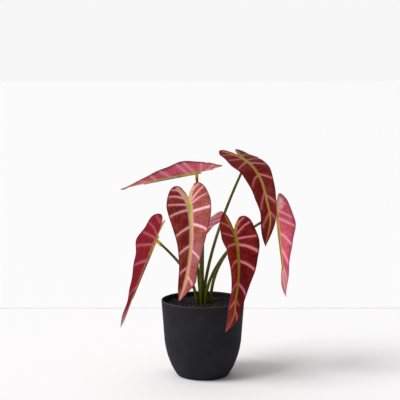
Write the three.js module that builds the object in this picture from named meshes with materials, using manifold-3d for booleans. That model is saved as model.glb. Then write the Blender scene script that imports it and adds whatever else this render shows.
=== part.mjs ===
// Potted alocasia: a tapered round pot filled with soil, and seven stems that stand in holes in the soil.
// Each stem carries one long heart-shaped blade, held from below by a moulded rib with a socket.
// Millimetres, +Z up. The origin is the centre of the pot's flat underside; -Y is the front.

import * as THREE from 'three';
import { mergeVertices } from 'three/addons/utils/BufferGeometryUtils.js';
import Module from 'manifold-3d';

const wasm = await Module();
wasm.setup();

// Pot
const potHeight = 120;
const rimRadius = 65;
const baseRadius = 39.5;
const wallThickness = 2.6;
const floorThickness = 5;
const shoulderRadius = 60.3;
const shoulderHeight = 57;
const bellyPull = [[47, 9], [57.6, 30]];
const bellySteps = 7;
const lipRounding = 0.9;
const turnedSegments = 48;

// Soil
const fittingGap = 0.3;
const soilHeight = 110;
const soilMound = 2;
const soilRelief = 0.8;
const soilRings = 6;
const clodLength = 11;

// Stems
const stemFootRadius = 2.6;
const stemTopRadius = 1.9;
const stemBottom = 78;
const stemLeavesSoil = 113;
const stemSides = 8;
const stemSteps = 16;

// Ribs and sockets
const ribRadiusAtHub = 1.3;
const ribRadiusAtEnd = 0.6;
const ribShare = 0.68;
const ribSides = 6;
const ribSteps = 9;
const spurLength = 4;
const barbRoot = 31;
const barbReach = 6;
const barbSlant = 5;
const barbRadius = 0.7;
const socketPlace = 4;
const socketLength = 9;
const socketRadius = 2.6;
const boreDepth = 6;
const boreRadius = 2;
const plugRadius = 1.6;
const knobRadius = 2.6;
const knobRings = 4;

// Blades: the outline of the right half of a blade that lies flat, from the notch between the lobes
// round the lobe to the tip. `out` is measured from the midrib and `along` from the hub to the tip.
// `root` is where the vein that ends at this point of the margin leaves the midrib.
const bladeLength = 152;
const lobeLength = 36;
const halfWidth = 37.5;
const bladeThickness = 0.7;
const stepsPerMarginPoint = 2;
const bladeColumns = 4;
const ripples = 3.5;
const rippleShift = 2.1;
const margin = [
  { out: 0, along: -15, root: -15 },
  { out: 5, along: -25, root: -12 },
  { out: 13, along: -34, root: -9 },
  { out: 23, along: -34, root: -6 },
  { out: 32, along: -24, root: -3 },
  { out: 37.5, along: -5, root: 0 },
  { out: 36, along: 15, root: 6 },
  { out: 30, along: 37, root: 19 },
  { out: 23.5, along: 60, root: 37 },
  { out: 18.5, along: 82, root: 57 },
  { out: 14.5, along: 102, root: 79 },
  { out: 11.5, along: 120, root: 102 },
  { out: 7, along: 138, root: 126 },
  { out: 0, along: 152, root: 152 },
];

// Leaves. `hub`, `bow` and `tip` are places on the midrib: where the stem joins, halfway and the end.
// `looks` gives the compass bearing and the height angle that the upper face looks towards, at the hub
// and at the tip. `fold` is how far each half rises from flat: at the lobes, the hub, halfway, the tip.
// `droop` bends the lobes down, `wave` is the ripple of the margin and `phase` shifts it.
// `foot` is where the stem stands, and it rises straight for `rise` before it leans over. It comes in
// to the hub from the direction `neck`, straight for `reach`.
const leaves = [
  {
    name: 'left_high', hub: [-7, 25, 317], bow: [-73, -14, 307], tip: [-124, -60, 299],
    looks: [[127, 76], [127, 60]], fold: [-3, 13, 43, -18], droop: 0, width: 1, wave: 1.5, phase: 2.1,
    foot: [-2.8, -4.5], rise: 120, neck: [0.05, -0.45, -0.9], reach: 30,
  },
  {
    name: 'right_high', hub: [65, 4, 338], bow: [94, -29, 292], tip: [94, -54, 211],
    looks: [[-50, 76], [-113, 0]], fold: [-8, -5, 20, 42], droop: 0, width: 0.93, wave: 3, phase: 1.6,
    foot: [1, 1.8], rise: 35, neck: [-0.42, 0.03, -0.91], reach: 112,
  },
  {
    name: 'right', hub: [116, 14, 254], bow: [123, 6, 189], tip: [130, -4, 124],
    looks: [[16, 0], [24, 0]], fold: [8, 38, 34, 28], droop: 0, width: 0.96, wave: 2, phase: -2.6,
    foot: [12, 2.5], rise: 75, neck: [-0.9, 0, -0.42], reach: 40,
  },
  {
    name: 'front_left', hub: [-20, -45, 271], bow: [-19, -60, 201], tip: [-36, -70, 131],
    looks: [[-92, 0], [-99, 0]], fold: [20, 20, 20, 20], droop: 0, width: 1, wave: 2, phase: 0,
    foot: [-4.5, 3.5], rise: 70, neck: [-0.1, 0.8, -0.6], reach: 45,
  },
  {
    name: 'back', hub: [3, 35, 236], bow: [-15, 92, 197], tip: [-26, 134, 149],
    looks: [[80, 48], [80, 48]], fold: [42, 32, 32, 32], droop: 0, width: 1, wave: 2, phase: 0,
    foot: [-0.5, 9.5], rise: 50, neck: [-0.05, -0.3, -0.95], reach: 30,
  },
  {
    name: 'front_right', hub: [49, -60, 224], bow: [53, -78, 156], tip: [34, -85, 87],
    looks: [[-67, 0], [-52, 0]], fold: [27, 27, 24, 20], droop: 0, width: 0.95, wave: 2, phase: 0,
    foot: [4, -5], rise: 40, neck: [-0.5, 0.6, -0.7], reach: 35,
  },
  {
    name: 'left', hub: [-72, -5, 217], bow: [-94, -16, 164], tip: [-127, -32, 82],
    looks: [[168, 0], [166, 0]], fold: [27, 35, 22, 8], droop: 14, width: 1, wave: 2, phase: 0,
    foot: [-9.5, -4], rise: 25, neck: [0.74, 0, -0.67], reach: 55,
  },
];

const paint = {
  pot: new THREE.MeshStandardMaterial({ color: 0x38383b, roughness: 0.75, metalness: 0 }),
  soil: new THREE.MeshStandardMaterial({ color: 0x1c1b1d, roughness: 0.95, metalness: 0 }),
  stem: new THREE.MeshStandardMaterial({ color: 0x3f4a14, roughness: 0.5, metalness: 0 }),
  rib: new THREE.MeshStandardMaterial({ color: 0x8d8a2b, roughness: 0.5, metalness: 0 }),
  blade: new THREE.MeshStandardMaterial({ color: 0x74211f, roughness: 0.55, metalness: 0 }),
};

// Helpers

const weldTolerance = 1e-4;
const cutOvershoot = 1;

const mix = (a, b, share) => a + (b - a) * share;

const inRadians = (degrees) => THREE.MathUtils.degToRad(degrees);

function directionOf([bearing, height]) {
  const level = Math.cos(inRadians(height));
  return new THREE.Vector3(
    Math.cos(inRadians(bearing)) * level,
    Math.sin(inRadians(bearing)) * level,
    Math.sin(inRadians(height)),
  );
}

function geometryOf(points, triangles) {
  const geometry = new THREE.BufferGeometry();
  const numbers = points.flatMap((point) => point.toArray());
  geometry.setAttribute('position', new THREE.Float32BufferAttribute(numbers, 3));
  geometry.setIndex(triangles.flat());
  return geometry;
}

function solidOf(geometry) {
  const bare = geometry.clone();
  bare.deleteAttribute('normal');
  bare.deleteAttribute('uv');
  const welded = mergeVertices(bare, weldTolerance);
  return new wasm.Manifold(new wasm.Mesh({
    numProp: 3,
    vertProperties: new Float32Array(welded.attributes.position.array),
    triVerts: new Uint32Array(welded.index.array),
  }));
}

function geometryOfSolid(solid) {
  const mesh = solid.getMesh();
  const geometry = new THREE.BufferGeometry();
  geometry.setAttribute('position', new THREE.BufferAttribute(mesh.vertProperties, 3));
  geometry.setIndex(new THREE.BufferAttribute(mesh.triVerts, 1));
  return geometry;
}

// A closed tube through the given places, with a radius for each and flat ends.
function tube(places, radii, sides) {
  const tangents = places.map((place, i) => {
    const before = places[Math.max(i - 1, 0)];
    const after = places[Math.min(i + 1, places.length - 1)];
    return after.clone().sub(before).normalize();
  });
  const first = tangents[0];
  const levelled = Math.abs(first.y) > Math.abs(first.x);
  const guide = levelled ? new THREE.Vector3(1, 0, 0) : new THREE.Vector3(0, 1, 0);
  let side = guide.clone().cross(first).normalize();
  const points = [];
  places.forEach((place, i) => {
    side = side.clone().addScaledVector(tangents[i], -side.dot(tangents[i])).normalize();
    const up = tangents[i].clone().cross(side);
    for (let k = 0; k < sides; k += 1) {
      const angle = (2 * Math.PI * k) / sides;
      points.push(place.clone()
        .addScaledVector(side, Math.cos(angle) * radii[i])
        .addScaledVector(up, Math.sin(angle) * radii[i]));
    }
  });
  const triangles = [];
  for (let i = 0; i + 1 < places.length; i += 1) {
    for (let k = 0; k < sides; k += 1) {
      const next = (k + 1) % sides;
      const [a, b] = [i * sides + k, i * sides + next];
      triangles.push([a, b, b + sides], [a, b + sides, a + sides]);
    }
  }
  const lastRing = (places.length - 1) * sides;
  for (let k = 1; k + 1 < sides; k += 1) {
    triangles.push([0, k + 1, k], [lastRing, lastRing + k, lastRing + k + 1]);
  }
  return geometryOf(points, triangles);
}

// Pot: turned from one closed profile, with a rounded belly that runs down to a flat base
const bellyCurve = new THREE.CubicBezierCurve(
  new THREE.Vector2(baseRadius, 0),
  new THREE.Vector2(...bellyPull[0]),
  new THREE.Vector2(...bellyPull[1]),
  new THREE.Vector2(shoulderRadius, shoulderHeight),
);
const belly = bellyCurve.getPoints(bellySteps);

function outsideRadius(height) {
  const wall = [...belly, new THREE.Vector2(rimRadius, potHeight)];
  const upper = wall.findIndex((place) => place.y >= height);
  const [low, high] = [wall[upper - 1], wall[upper]];
  return mix(low.x, high.x, (height - low.y) / (high.y - low.y));
}

// Places on the pot's inside, brought in by a gap, from one height up to another
function insideWall(lowest, highest, gap) {
  const heights = [lowest, ...belly.map((place) => place.y), highest];
  const kept = heights.filter((height) => height >= lowest && height <= highest);
  return kept.map((height) => (
    new THREE.Vector2(outsideRadius(height) - wallThickness - gap, height)
  ));
}

// LatheGeometry turns about Y, so the result is stood up along Z.
function turned(profile) {
  const geometry = new THREE.LatheGeometry(profile, turnedSegments);
  geometry.rotateX(Math.PI / 2);
  return geometry;
}

function makePot() {
  const top = potHeight - lipRounding;
  return turned([
    new THREE.Vector2(0, 0),
    ...belly,
    new THREE.Vector2(rimRadius, top),
    new THREE.Vector2(rimRadius - lipRounding, potHeight),
    new THREE.Vector2(rimRadius - wallThickness + lipRounding, potHeight),
    ...insideWall(floorThickness, top, 0).reverse(),
    new THREE.Vector2(0, floorThickness),
  ]);
}

// Soil: fills the pot, with clods raised by a formula and one plain hole for each stem
function soilSurface(x, y) {
  const mound = soilMound * (1 - (Math.hypot(x, y) / rimRadius) ** 2);
  const turn = (2 * Math.PI) / clodLength;
  const clods = Math.sin(x * turn) * Math.cos(y * turn) + Math.sin(((x - y) * turn) / 2);
  return soilHeight + mound + (soilRelief * clods) / 2;
}

function makeSoil() {
  const side = insideWall(floorThickness + fittingGap, soilHeight, fittingGap);
  const edge = side[side.length - 1].x;
  const surface = [];
  for (let ring = soilRings - 1; ring >= 0; ring -= 1) {
    surface.push(new THREE.Vector2((edge * ring) / soilRings, soilHeight));
  }
  const body = turned([new THREE.Vector2(0, side[0].y), ...side, ...surface]);
  const position = body.attributes.position;
  for (let i = 0; i < position.count; i += 1) {
    if (position.getZ(i) > soilHeight - fittingGap) {
      position.setZ(i, soilSurface(position.getX(i), position.getY(i)));
    }
  }
  let soil = solidOf(body);
  for (const { foot } of leaves) {
    const places = [stemBottom - fittingGap, potHeight].map((z) => new THREE.Vector3(...foot, z));
    const radius = stemFootRadius + fittingGap;
    soil = soil.subtract(solidOf(tube(places, [radius, radius], stemSides)));
  }
  return geometryOfSolid(soil);
}

// Blades: a blade's own shape, bent along its midrib and folded up on both sides of it
class BladeForm {
  constructor(leaf) {
    this.leaf = leaf;
    const [hub, bow, tip] = [leaf.hub, leaf.bow, leaf.tip].map((place) => new THREE.Vector3(...place));
    const pull = bow.multiplyScalar(2).addScaledVector(hub, -0.5).addScaledVector(tip, -0.5);
    this.midrib = new THREE.QuadraticBezierCurve3(hub, pull, tip);
    this.size = this.midrib.getLength() / bladeLength;
  }

  // The place on the midrib and the three directions there: forward, up from the face, and to the left
  frameAt(along) {
    const share = Math.max(along / bladeLength, 0);
    const place = this.midrib.getPointAt(share);
    const forward = this.midrib.getTangentAt(share);
    const [atHub, atTip] = this.leaf.looks.map(directionOf);
    const up = atHub.lerp(atTip, share);
    up.addScaledVector(forward, -up.dot(forward)).normalize();
    if (along < 0) {
      const bend = inRadians(this.leaf.droop) * (-along / lobeLength);
      const left = up.clone().cross(forward);
      const chord = forward.clone().applyAxisAngle(left, -bend / 2);
      place.addScaledVector(chord, along * this.size);
      forward.applyAxisAngle(left, -bend);
      up.applyAxisAngle(left, -bend);
    }
    return { place, forward, up, left: up.clone().cross(forward) };
  }

  foldAt(along) {
    const [atLobes, atHub, halfway, atTip] = this.leaf.fold;
    if (along < 0) {
      return inRadians(mix(atHub, atLobes, Math.min(-along / lobeLength, 1)));
    }
    const share = along / bladeLength;
    const bulge = halfway - (atHub + atTip) / 2;
    return inRadians(mix(atHub, atTip, share) + 4 * bulge * share * (1 - share));
  }

  // A place on the blade's middle surface. `out` is positive to the left of the midrib.
  surface(out, along) {
    const { place, up, left } = this.frameAt(along);
    const fold = this.foldAt(along);
    const reach = Math.abs(out) * this.size * this.leaf.width;
    const share = reach / (halfWidth * this.size);
    const turn = (2 * Math.PI * ripples * along) / bladeLength + this.leaf.phase;
    const wave = this.leaf.wave * share ** 2 * Math.sin(turn + (out < 0 ? rippleShift : 0));
    return place
      .addScaledVector(left, Math.sign(out) * reach * Math.cos(fold))
      .addScaledVector(up, reach * Math.sin(fold) + wave);
  }

  // A place below the midrib, clear of the blade by the fitting gap, for a bar of the given radius
  below(along, radius) {
    const { place, up } = this.frameAt(along);
    return place.addScaledVector(up, -(bladeThickness / 2 + fittingGap + radius));
  }
}

const marginCurve = new THREE.CatmullRomCurve3(
  margin.map(({ out, along, root }) => new THREE.Vector3(out, along, root)),
  false,
  'catmullrom',
  0.5,
);

// One blade: both faces share one net of lines that run from the midrib out to the margin, as the
// veins do. The net closes to one point at the notch and one at the tip.
function makeBlade(form) {
  const rows = (margin.length - 1) * stepsPerMarginPoint;
  const across = 2 * bladeColumns + 1;
  const net = [form.surface(0, margin[0].along)];
  for (let row = 1; row < rows; row += 1) {
    const { x: out, y: along, z: root } = marginCurve.getPoint(row / rows);
    for (let column = -bladeColumns; column <= bladeColumns; column += 1) {
      const share = Math.abs(column) / bladeColumns;
      net.push(form.surface(-Math.sign(column) * share * out, mix(root, along, share)));
    }
  }
  net.push(form.surface(0, bladeLength));
  const faces = netTriangles(rows, across);
  return plate(net, faces, netRim(rows, across));
}

const netIndex = (row, column, across) => 1 + (row - 1) * across + column;

function netTriangles(rows, across) {
  const last = (rows - 1) * across + 1;
  const faces = [];
  for (let column = 0; column + 1 < across; column += 1) {
    faces.push([0, netIndex(1, column + 1, across), netIndex(1, column, across)]);
    for (let row = 1; row + 1 < rows; row += 1) {
      const [a, b] = [netIndex(row, column, across), netIndex(row, column + 1, across)];
      const [c, d] = [netIndex(row + 1, column, across), netIndex(row + 1, column + 1, across)];
      const onLeft = column < bladeColumns;
      faces.push(...(onLeft ? [[a, b, d], [a, d, c]] : [[a, b, c], [b, d, c]]));
    }
    faces.push([last, netIndex(rows - 1, column, across), netIndex(rows - 1, column + 1, across)]);
  }
  return faces;
}

function netRim(rows, across) {
  const last = (rows - 1) * across + 1;
  const rim = [0];
  for (let row = 1; row < rows; row += 1) {
    rim.push(netIndex(row, across - 1, across));
  }
  rim.push(last);
  for (let row = rows - 1; row > 0; row -= 1) {
    rim.push(netIndex(row, 0, across));
  }
  return rim;
}

// A thin closed plate on both sides of a net of places
function plate(net, faces, rim) {
  const middle = geometryOf(net, faces);
  middle.computeVertexNormals();
  const normals = middle.attributes.normal;
  const shifted = (side) => net.map((place, i) => {
    const normal = new THREE.Vector3().fromBufferAttribute(normals, i);
    return normal.multiplyScalar((side * bladeThickness) / 2).add(place);
  });
  const count = net.length;
  const triangles = faces.flatMap(([a, b, c]) => [[a, b, c], [a + count, c + count, b + count]]);
  rim.forEach((a, i) => {
    const b = rim[(i + 1) % rim.length];
    triangles.push([b, a, a + count], [b, a + count, b + count]);
  });
  return geometryOf([...shifted(1), ...shifted(-1)], triangles);
}

// Sockets: a sleeve below the hub that takes the end of the stem in a plain bore
function socketAxis(form) {
  const start = form.below(socketPlace, knobRadius);
  const neck = new THREE.Vector3(...form.leaf.neck).normalize();
  return (distance) => start.clone().addScaledVector(neck, distance);
}

// Ribs: a tapered bar under the midrib, two short barbs, a knob at the hub and the socket below it
function makeRib(form) {
  const ribEnd = bladeLength * ribShare;
  const places = [];
  const radii = [];
  for (let step = 0; step <= ribSteps; step += 1) {
    const share = step / ribSteps;
    const radius = mix(ribRadiusAtHub, ribRadiusAtEnd, share);
    radii.push(radius);
    places.push(form.below(mix(-spurLength, ribEnd, share), radius));
  }
  let rib = solidOf(tube(places, radii, ribSides));
  for (const side of [-1, 1]) {
    const start = form.below(barbRoot, ribRadiusAtHub);
    const { up, left } = form.frameAt(barbRoot + barbSlant);
    const fold = form.foldAt(barbRoot + barbSlant);
    const away = up.clone().multiplyScalar(Math.cos(fold)).addScaledVector(left, -side * Math.sin(fold));
    const end = form.surface(side * barbReach, barbRoot + barbSlant)
      .addScaledVector(away, -(bladeThickness / 2 + fittingGap + barbRadius));
    rib = rib.add(solidOf(tube([start, end], [barbRadius, barbRadius / 2], ribSides)));
  }
  const knob = new THREE.SphereGeometry(knobRadius, stemSides, knobRings);
  knob.translate(...form.below(socketPlace, knobRadius).toArray());
  const axis = socketAxis(form);
  const sleeve = tube([axis(0), axis(socketLength)], [socketRadius, socketRadius], stemSides);
  const boreEnds = [axis(socketLength - boreDepth), axis(socketLength + cutOvershoot)];
  const bore = tube(boreEnds, [boreRadius, boreRadius], stemSides);
  rib = rib.add(solidOf(knob)).add(solidOf(sleeve)).subtract(solidOf(bore));
  return geometryOfSolid(rib);
}

// Stems: straight up out of the soil, then one smooth bend over to the socket, whose bore takes the end
function makeStem(form) {
  const { foot, rise, reach } = form.leaf;
  const axis = socketAxis(form);
  const leavesSoil = new THREE.Vector3(...foot, stemLeavesSoil);
  const bend = new THREE.CubicBezierCurve3(
    leavesSoil,
    new THREE.Vector3(...foot, stemLeavesSoil + rise),
    axis(socketLength + reach),
    axis(socketLength + fittingGap),
  );
  const places = [new THREE.Vector3(...foot, stemBottom), ...bend.getSpacedPoints(stemSteps)];
  const radii = places.map((place, i) => (
    mix(stemFootRadius, stemTopRadius, Math.max(i - 1, 0) / stemSteps)
  ));
  places.push(axis(socketLength), axis(socketLength - boreDepth + fittingGap));
  radii.push(plugRadius, plugRadius);
  return tube(places, radii, stemSides);
}

// The whole plant
const plant = new THREE.Group();

function addPiece(name, geometry, material) {
  const piece = new THREE.Mesh(geometry, material);
  piece.name = name;
  plant.add(piece);
}

addPiece('pot', makePot(), paint.pot);
addPiece('soil', makeSoil(), paint.soil);
for (const leaf of leaves) {
  const form = new BladeForm(leaf);
  addPiece(`stem_${leaf.name}`, makeStem(form), paint.stem);
  addPiece(`rib_${leaf.name}`, makeRib(form), paint.rib);
  addPiece(`blade_${leaf.name}`, makeBlade(form), paint.blade);
}

export default plant;
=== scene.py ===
"""Looks of a potted alocasia: a charcoal pot, dark compost and seven long heart-shaped leaves.

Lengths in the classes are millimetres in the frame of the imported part: +Z up, -Y to the front, the
origin at the centre of the pot's underside. Meshes are written in metres.
"""

import logging
import math
from collections.abc import Sequence
from dataclasses import dataclass, field
from enum import Enum

import bpy
import numpy as np
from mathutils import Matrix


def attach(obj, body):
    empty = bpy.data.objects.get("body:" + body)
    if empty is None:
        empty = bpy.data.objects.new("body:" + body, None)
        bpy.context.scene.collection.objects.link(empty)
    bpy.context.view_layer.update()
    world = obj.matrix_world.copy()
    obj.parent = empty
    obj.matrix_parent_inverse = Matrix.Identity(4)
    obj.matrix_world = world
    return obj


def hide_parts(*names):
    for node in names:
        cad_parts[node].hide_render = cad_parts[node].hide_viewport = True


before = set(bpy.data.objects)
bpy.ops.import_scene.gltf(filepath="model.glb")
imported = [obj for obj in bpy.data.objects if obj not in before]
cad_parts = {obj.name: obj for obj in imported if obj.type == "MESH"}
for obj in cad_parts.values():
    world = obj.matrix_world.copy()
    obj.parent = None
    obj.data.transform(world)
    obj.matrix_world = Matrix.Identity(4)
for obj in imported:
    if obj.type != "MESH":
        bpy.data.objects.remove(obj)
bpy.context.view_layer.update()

log = logging.getLogger("potted_alocasia")

MM = 0.001
BODY = "root"

Array = np.ndarray
Place = tuple[float, float, float]
Line = tuple[tuple[float, float], ...]
Faces = list[tuple[int, ...]]
Socket = bpy.types.NodeSocket
Tree = bpy.types.NodeTree
Feeds = dict[str | int, object]

ORIGIN = np.zeros(3)
RIGHT, BACK, UP = np.eye(3)

# A direction that lies less than this along +X can be squared against it
NEARLY_ALONG = 0.9

# Places closer than this, in millimetres, count as level
SLIVER = 0.01

# Edges that turn by more degrees than this are shaded as edges: mouths and steps do, folds don't.
SHARP_ANGLE = 48.0

# The angle for a piece that is smooth all over
NO_EDGES = 180.0

# Sockets of Blender's Mix node when it mixes colours
MIX_A, MIX_B, MIX_OUT = 6, 7, 2


# Numbers and vectors


def unit(vectors: Array) -> Array:
    """Scales vectors to length one."""
    return vectors / np.linalg.norm(vectors, axis=-1, keepdims=True)


def mix(a: float | Array, b: float | Array, share: float | Array) -> float | Array:
    """Goes from a to b as share goes from 0 to 1."""
    return a + (b - a) * share


def smooth_step(values: Array, low: float, high: float) -> Array:
    """Rises smoothly from 0 at low to 1 at high."""
    share = np.clip((values - low) / (high - low), 0.0, 1.0)
    return share * share * (3.0 - 2.0 * share)


def pulled_curve(pulls: Sequence[Array], turns: Array) -> Array:
    """Follows a smooth curve from the first of some places to the last, drawn towards those between.

    Args:
        pulls: Three or four places.
        turns: Shares of the way, from 0 at the first place to 1 at the last.

    Returns:
        The place at each share.
    """
    most = len(pulls) - 1
    turn = turns[:, None]
    return sum(
        math.comb(most, k) * turn ** k * (1 - turn) ** (most - k) * pull for k, pull in enumerate(pulls)
    )


def direction_of(bearing: float, height: float) -> Array:
    """Finds a direction.

    Args:
        bearing: Degrees from +X towards +Y.
        height: Degrees above level.

    Returns:
        The unit vector.
    """
    turn, rise = math.radians(bearing), math.radians(height)
    level = math.cos(rise)
    return np.array([math.cos(turn) * level, math.sin(turn) * level, math.sin(rise)])


def linear(colour: str) -> tuple[float, float, float, float]:
    """Turns an sRGB hex colour into the linear colour that a socket takes.

    Args:
        colour: Six hex digits, such as "8c1f1a".

    Returns:
        Red, green, blue and an alpha of one, in linear light.
    """
    parts = [int(colour[i:i + 2], 16) / 255.0 for i in (0, 2, 4)]
    red, green, blue = (
        part / 12.92 if part <= 0.04045 else ((part + 0.055) / 1.055) ** 2.4 for part in parts
    )
    return (red, green, blue, 1.0)


# Meshes


@dataclass
class Shell:
    """Vertices in millimetres and faces of one closed surface, with named numbers at the vertices."""

    points: Array
    faces: Faces
    values: dict[str, Array] = field(default_factory=dict)
    slots: Array | None = None


def joined(shells: list[Shell]) -> Shell:
    """Puts several shells into one.

    Args:
        shells: Shells that carry the same named numbers.

    Returns:
        One shell with all their vertices, faces and numbers.
    """
    faces: Faces = []
    start = 0
    for shell in shells:
        faces.extend(tuple(i + start for i in face) for face in shell.faces)
        start += len(shell.points)
    names = shells[0].values.keys()
    values = {name: np.concatenate([shell.values[name] for shell in shells]) for name in names}
    return Shell(np.concatenate([shell.points for shell in shells]), faces, values)


def piece_from(
    name: str, shell: Shell, finishes: list[bpy.types.Material], sharp: float = SHARP_ANGLE
) -> bpy.types.Object:
    """Makes a smooth-shaded object in metres from a shell.

    Args:
        name: The piece's name.
        shell: Its vertices, faces, numbers and material slots.
        finishes: The materials of its slots, in order.
        sharp: Edges that turn by more degrees than this are shaded as edges.

    Returns:
        The new object, linked to the scene.
    """
    mesh = bpy.data.meshes.new(name)
    mesh.from_pydata((shell.points * MM).tolist(), [], shell.faces)
    mesh.shade_smooth()
    mesh.set_sharp_from_angle(angle=math.radians(sharp))
    for label, numbers in shell.values.items():
        kind, key = ("FLOAT", "value") if numbers.ndim == 1 else ("FLOAT_VECTOR", "vector")
        store = mesh.attributes.new(label, kind, "POINT")
        store.data.foreach_set(key, np.ascontiguousarray(numbers, np.float32).ravel())
    for finish in finishes:
        mesh.materials.append(finish)
    if shell.slots is not None:
        mesh.polygons.foreach_set("material_index", shell.slots.astype(np.int32))
    mesh.update()
    piece = bpy.data.objects.new(name, mesh)
    bpy.context.scene.collection.objects.link(piece)
    return piece


def rings_shell(rings: Array, grain: Array) -> Shell:
    """Joins rings of vertices into a closed skin with a point at each end.

    Args:
        rings: Places by ring and turn, shape (rings, sides, 3).
        grain: A vector at each of them for the material's grain, of the same shape.

    Returns:
        The skin, closed with a fan at the first and the last ring.
    """
    count, sides, _ = rings.shape
    points = np.concatenate([rings.reshape(-1, 3), rings[[0, -1]].mean(axis=1)])
    grains = np.concatenate([grain.reshape(-1, 3), grain[[0, -1]].mean(axis=1)])
    first, last = count * sides, count * sides + 1
    faces: Faces = []
    for ring in range(count - 1):
        for turn in range(sides):
            a, b = ring * sides + turn, ring * sides + (turn + 1) % sides
            faces.append((a, b, b + sides, a + sides))
    for turn in range(sides):
        a, b = turn, (turn + 1) % sides
        faces.append((first, b, a))
        faces.append((last, (count - 1) * sides + a, (count - 1) * sides + b))
    return Shell(points, faces, {"grain": grains})


def run_along(places: Array) -> Array:
    """Measures how far along a path each of its places is, shape (n,)."""
    return np.concatenate([[0.0], np.cumsum(np.linalg.norm(np.diff(places, axis=0), axis=1))])


def tube_shell(places: Array, radii: Array, sides: int, flutes: int = 0, depth: float = 0.0) -> Shell:
    """Makes a round bar along a path, closed at both ends, with fine lengthwise flutes if asked.

    Args:
        places: The path, shape (n, 3).
        radii: The radius at each place.
        sides: How many sides the bar has.
        flutes: How many flutes run along it.
        depth: How deep they are, as a share of the radius.

    Returns:
        The bar; its grain vector runs round the section and along the path, in millimetres.
    """
    tangents = unit(np.gradient(places, axis=0))
    first = tangents[0]
    side = unit(np.cross(RIGHT if abs(first[1]) > abs(first[0]) else BACK, first))
    angles = np.linspace(0.0, 2.0 * math.pi, sides, endpoint=False)
    shape = 1.0 + depth * np.cos(flutes * angles)
    rings, grains = [], []
    for place, tangent, radius, length in zip(places, tangents, radii, run_along(places)):
        side = unit(side - (side @ tangent) * tangent)
        up = np.cross(tangent, side)
        reach = (radius * shape)[:, None]
        rings.append(place + reach * (np.cos(angles)[:, None] * side + np.sin(angles)[:, None] * up))
        grains.append(np.stack([
            radius * np.cos(angles), radius * np.sin(angles), np.full(sides, length),
        ], axis=1))
    return rings_shell(np.array(rings), np.array(grains))


def turned_shell(start: Array, axis: Array, profile: list[tuple[float, float]], sides: int) -> Shell:
    """Turns a profile about an axis.

    Args:
        start: The place that distances along the axis are measured from.
        axis: The axis as a unit vector.
        profile: Pairs of distance along the axis and radius, all off the axis.
        sides: How many sides the turned form has.

    Returns:
        The turned skin, closed at both ends of the profile.
    """
    side = unit(np.cross(RIGHT if abs(axis[0]) < NEARLY_ALONG else BACK, axis))
    up = np.cross(axis, side)
    angles = np.linspace(0.0, 2.0 * math.pi, sides, endpoint=False)
    round_turn = np.cos(angles)[:, None] * side + np.sin(angles)[:, None] * up
    rings = np.array([start + distance * axis + radius * round_turn for distance, radius in profile])
    grain = np.array([
        np.stack([radius * np.cos(angles), radius * np.sin(angles), np.full(sides, distance)], axis=1)
        for distance, radius in profile
    ])
    return rings_shell(rings, grain)


# Materials


def add_node(tree: Tree, kind: str, feeds: Feeds | None = None, **settings: object) -> bpy.types.Node:
    """Adds one node with its settings and links.

    Args:
        tree: The node tree.
        kind: The node's Blender type.
        feeds: What each input takes: an output socket to link, or a number or colour to set.
        **settings: The node's own properties.

    Returns:
        The new node.
    """
    node = tree.nodes.new(kind)
    for name, value in settings.items():
        setattr(node, name, value)
    for socket, value in (feeds or {}).items():
        if isinstance(value, Socket):
            tree.links.new(value, node.inputs[socket])
        else:
            node.inputs[socket].default_value = value
    return node


def new_material(name: str) -> tuple[bpy.types.Material, Tree]:
    """Starts a material with an empty tree.

    Args:
        name: The material's name.

    Returns:
        The material and its node tree.
    """
    material = bpy.data.materials.new(name)
    material.use_nodes = True
    material.node_tree.nodes.clear()
    return material, material.node_tree


def close_surface(tree: Tree, feeds: Feeds) -> None:
    """Ends a material's tree with its surface shader and its output.

    Args:
        tree: The node tree.
        feeds: What each input of the shader takes: an output socket, or a number or colour.
    """
    shader = add_node(tree, "ShaderNodeBsdfPrincipled", feeds)
    add_node(tree, "ShaderNodeOutputMaterial", {"Surface": shader.outputs["BSDF"]})


def layered(tree: Tree, ground: str, layers: list[tuple[Socket, str | Socket]]) -> Socket:
    """Lays colours over a ground, each as strong as its share.

    Args:
        tree: The node tree.
        ground: The hex colour at the bottom.
        layers: The share of each colour and the colour, as hex digits or as a socket that gives it.

    Returns:
        The socket with the colour on top.
    """
    colour: object = linear(ground)
    for share, above in layers:
        colour = add_node(tree, "ShaderNodeMix", {
            0: share, MIX_A: colour, MIX_B: linear(above) if isinstance(above, str) else above,
        }, data_type="RGBA").outputs[MIX_OUT]
    return colour


@dataclass(frozen=True)
class Grain:
    """A noise pattern whose grains have a real size in millimetres."""

    size: float
    detail: float = 3.0
    roughness: float = 0.55

    def feeds(self, places: Socket, per_metre: bool = True) -> Feeds:
        """Gives the inputs of a noise node, with its scale worked out from the grain's size.

        Args:
            places: The coordinates that the pattern is drawn in.
            per_metre: True if those are metres, False if they are millimetres.

        Returns:
            What each input of the node takes.
        """
        scale = 1.0 / (self.size * MM) if per_metre else 1.0 / self.size
        return {"Vector": places, "Scale": scale, "Detail": self.detail, "Roughness": self.roughness}


@dataclass(frozen=True)
class Fade:
    """A number that goes from start to end while another goes from low to high."""

    low: float
    high: float
    start: float = 0.0
    end: float = 1.0

    def feeds(self, value: Socket) -> Feeds:
        """Gives the inputs of a map range node.

        Args:
            value: The number that goes from low to high.

        Returns:
            What each input of the node takes.
        """
        return {
            "Value": value, "From Min": self.low, "From Max": self.high,
            "To Min": self.start, "To Max": self.end,
        }


@dataclass(frozen=True)
class Relief:
    """Relief too low for the mesh: its depth in millimetres, and how strongly it bends the light."""

    depth: float
    strength: float

    def feeds(self, height: Socket) -> Feeds:
        """Gives the inputs of a bump node."""
        return {"Strength": self.strength, "Distance": self.depth * MM, "Height": height}


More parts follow.
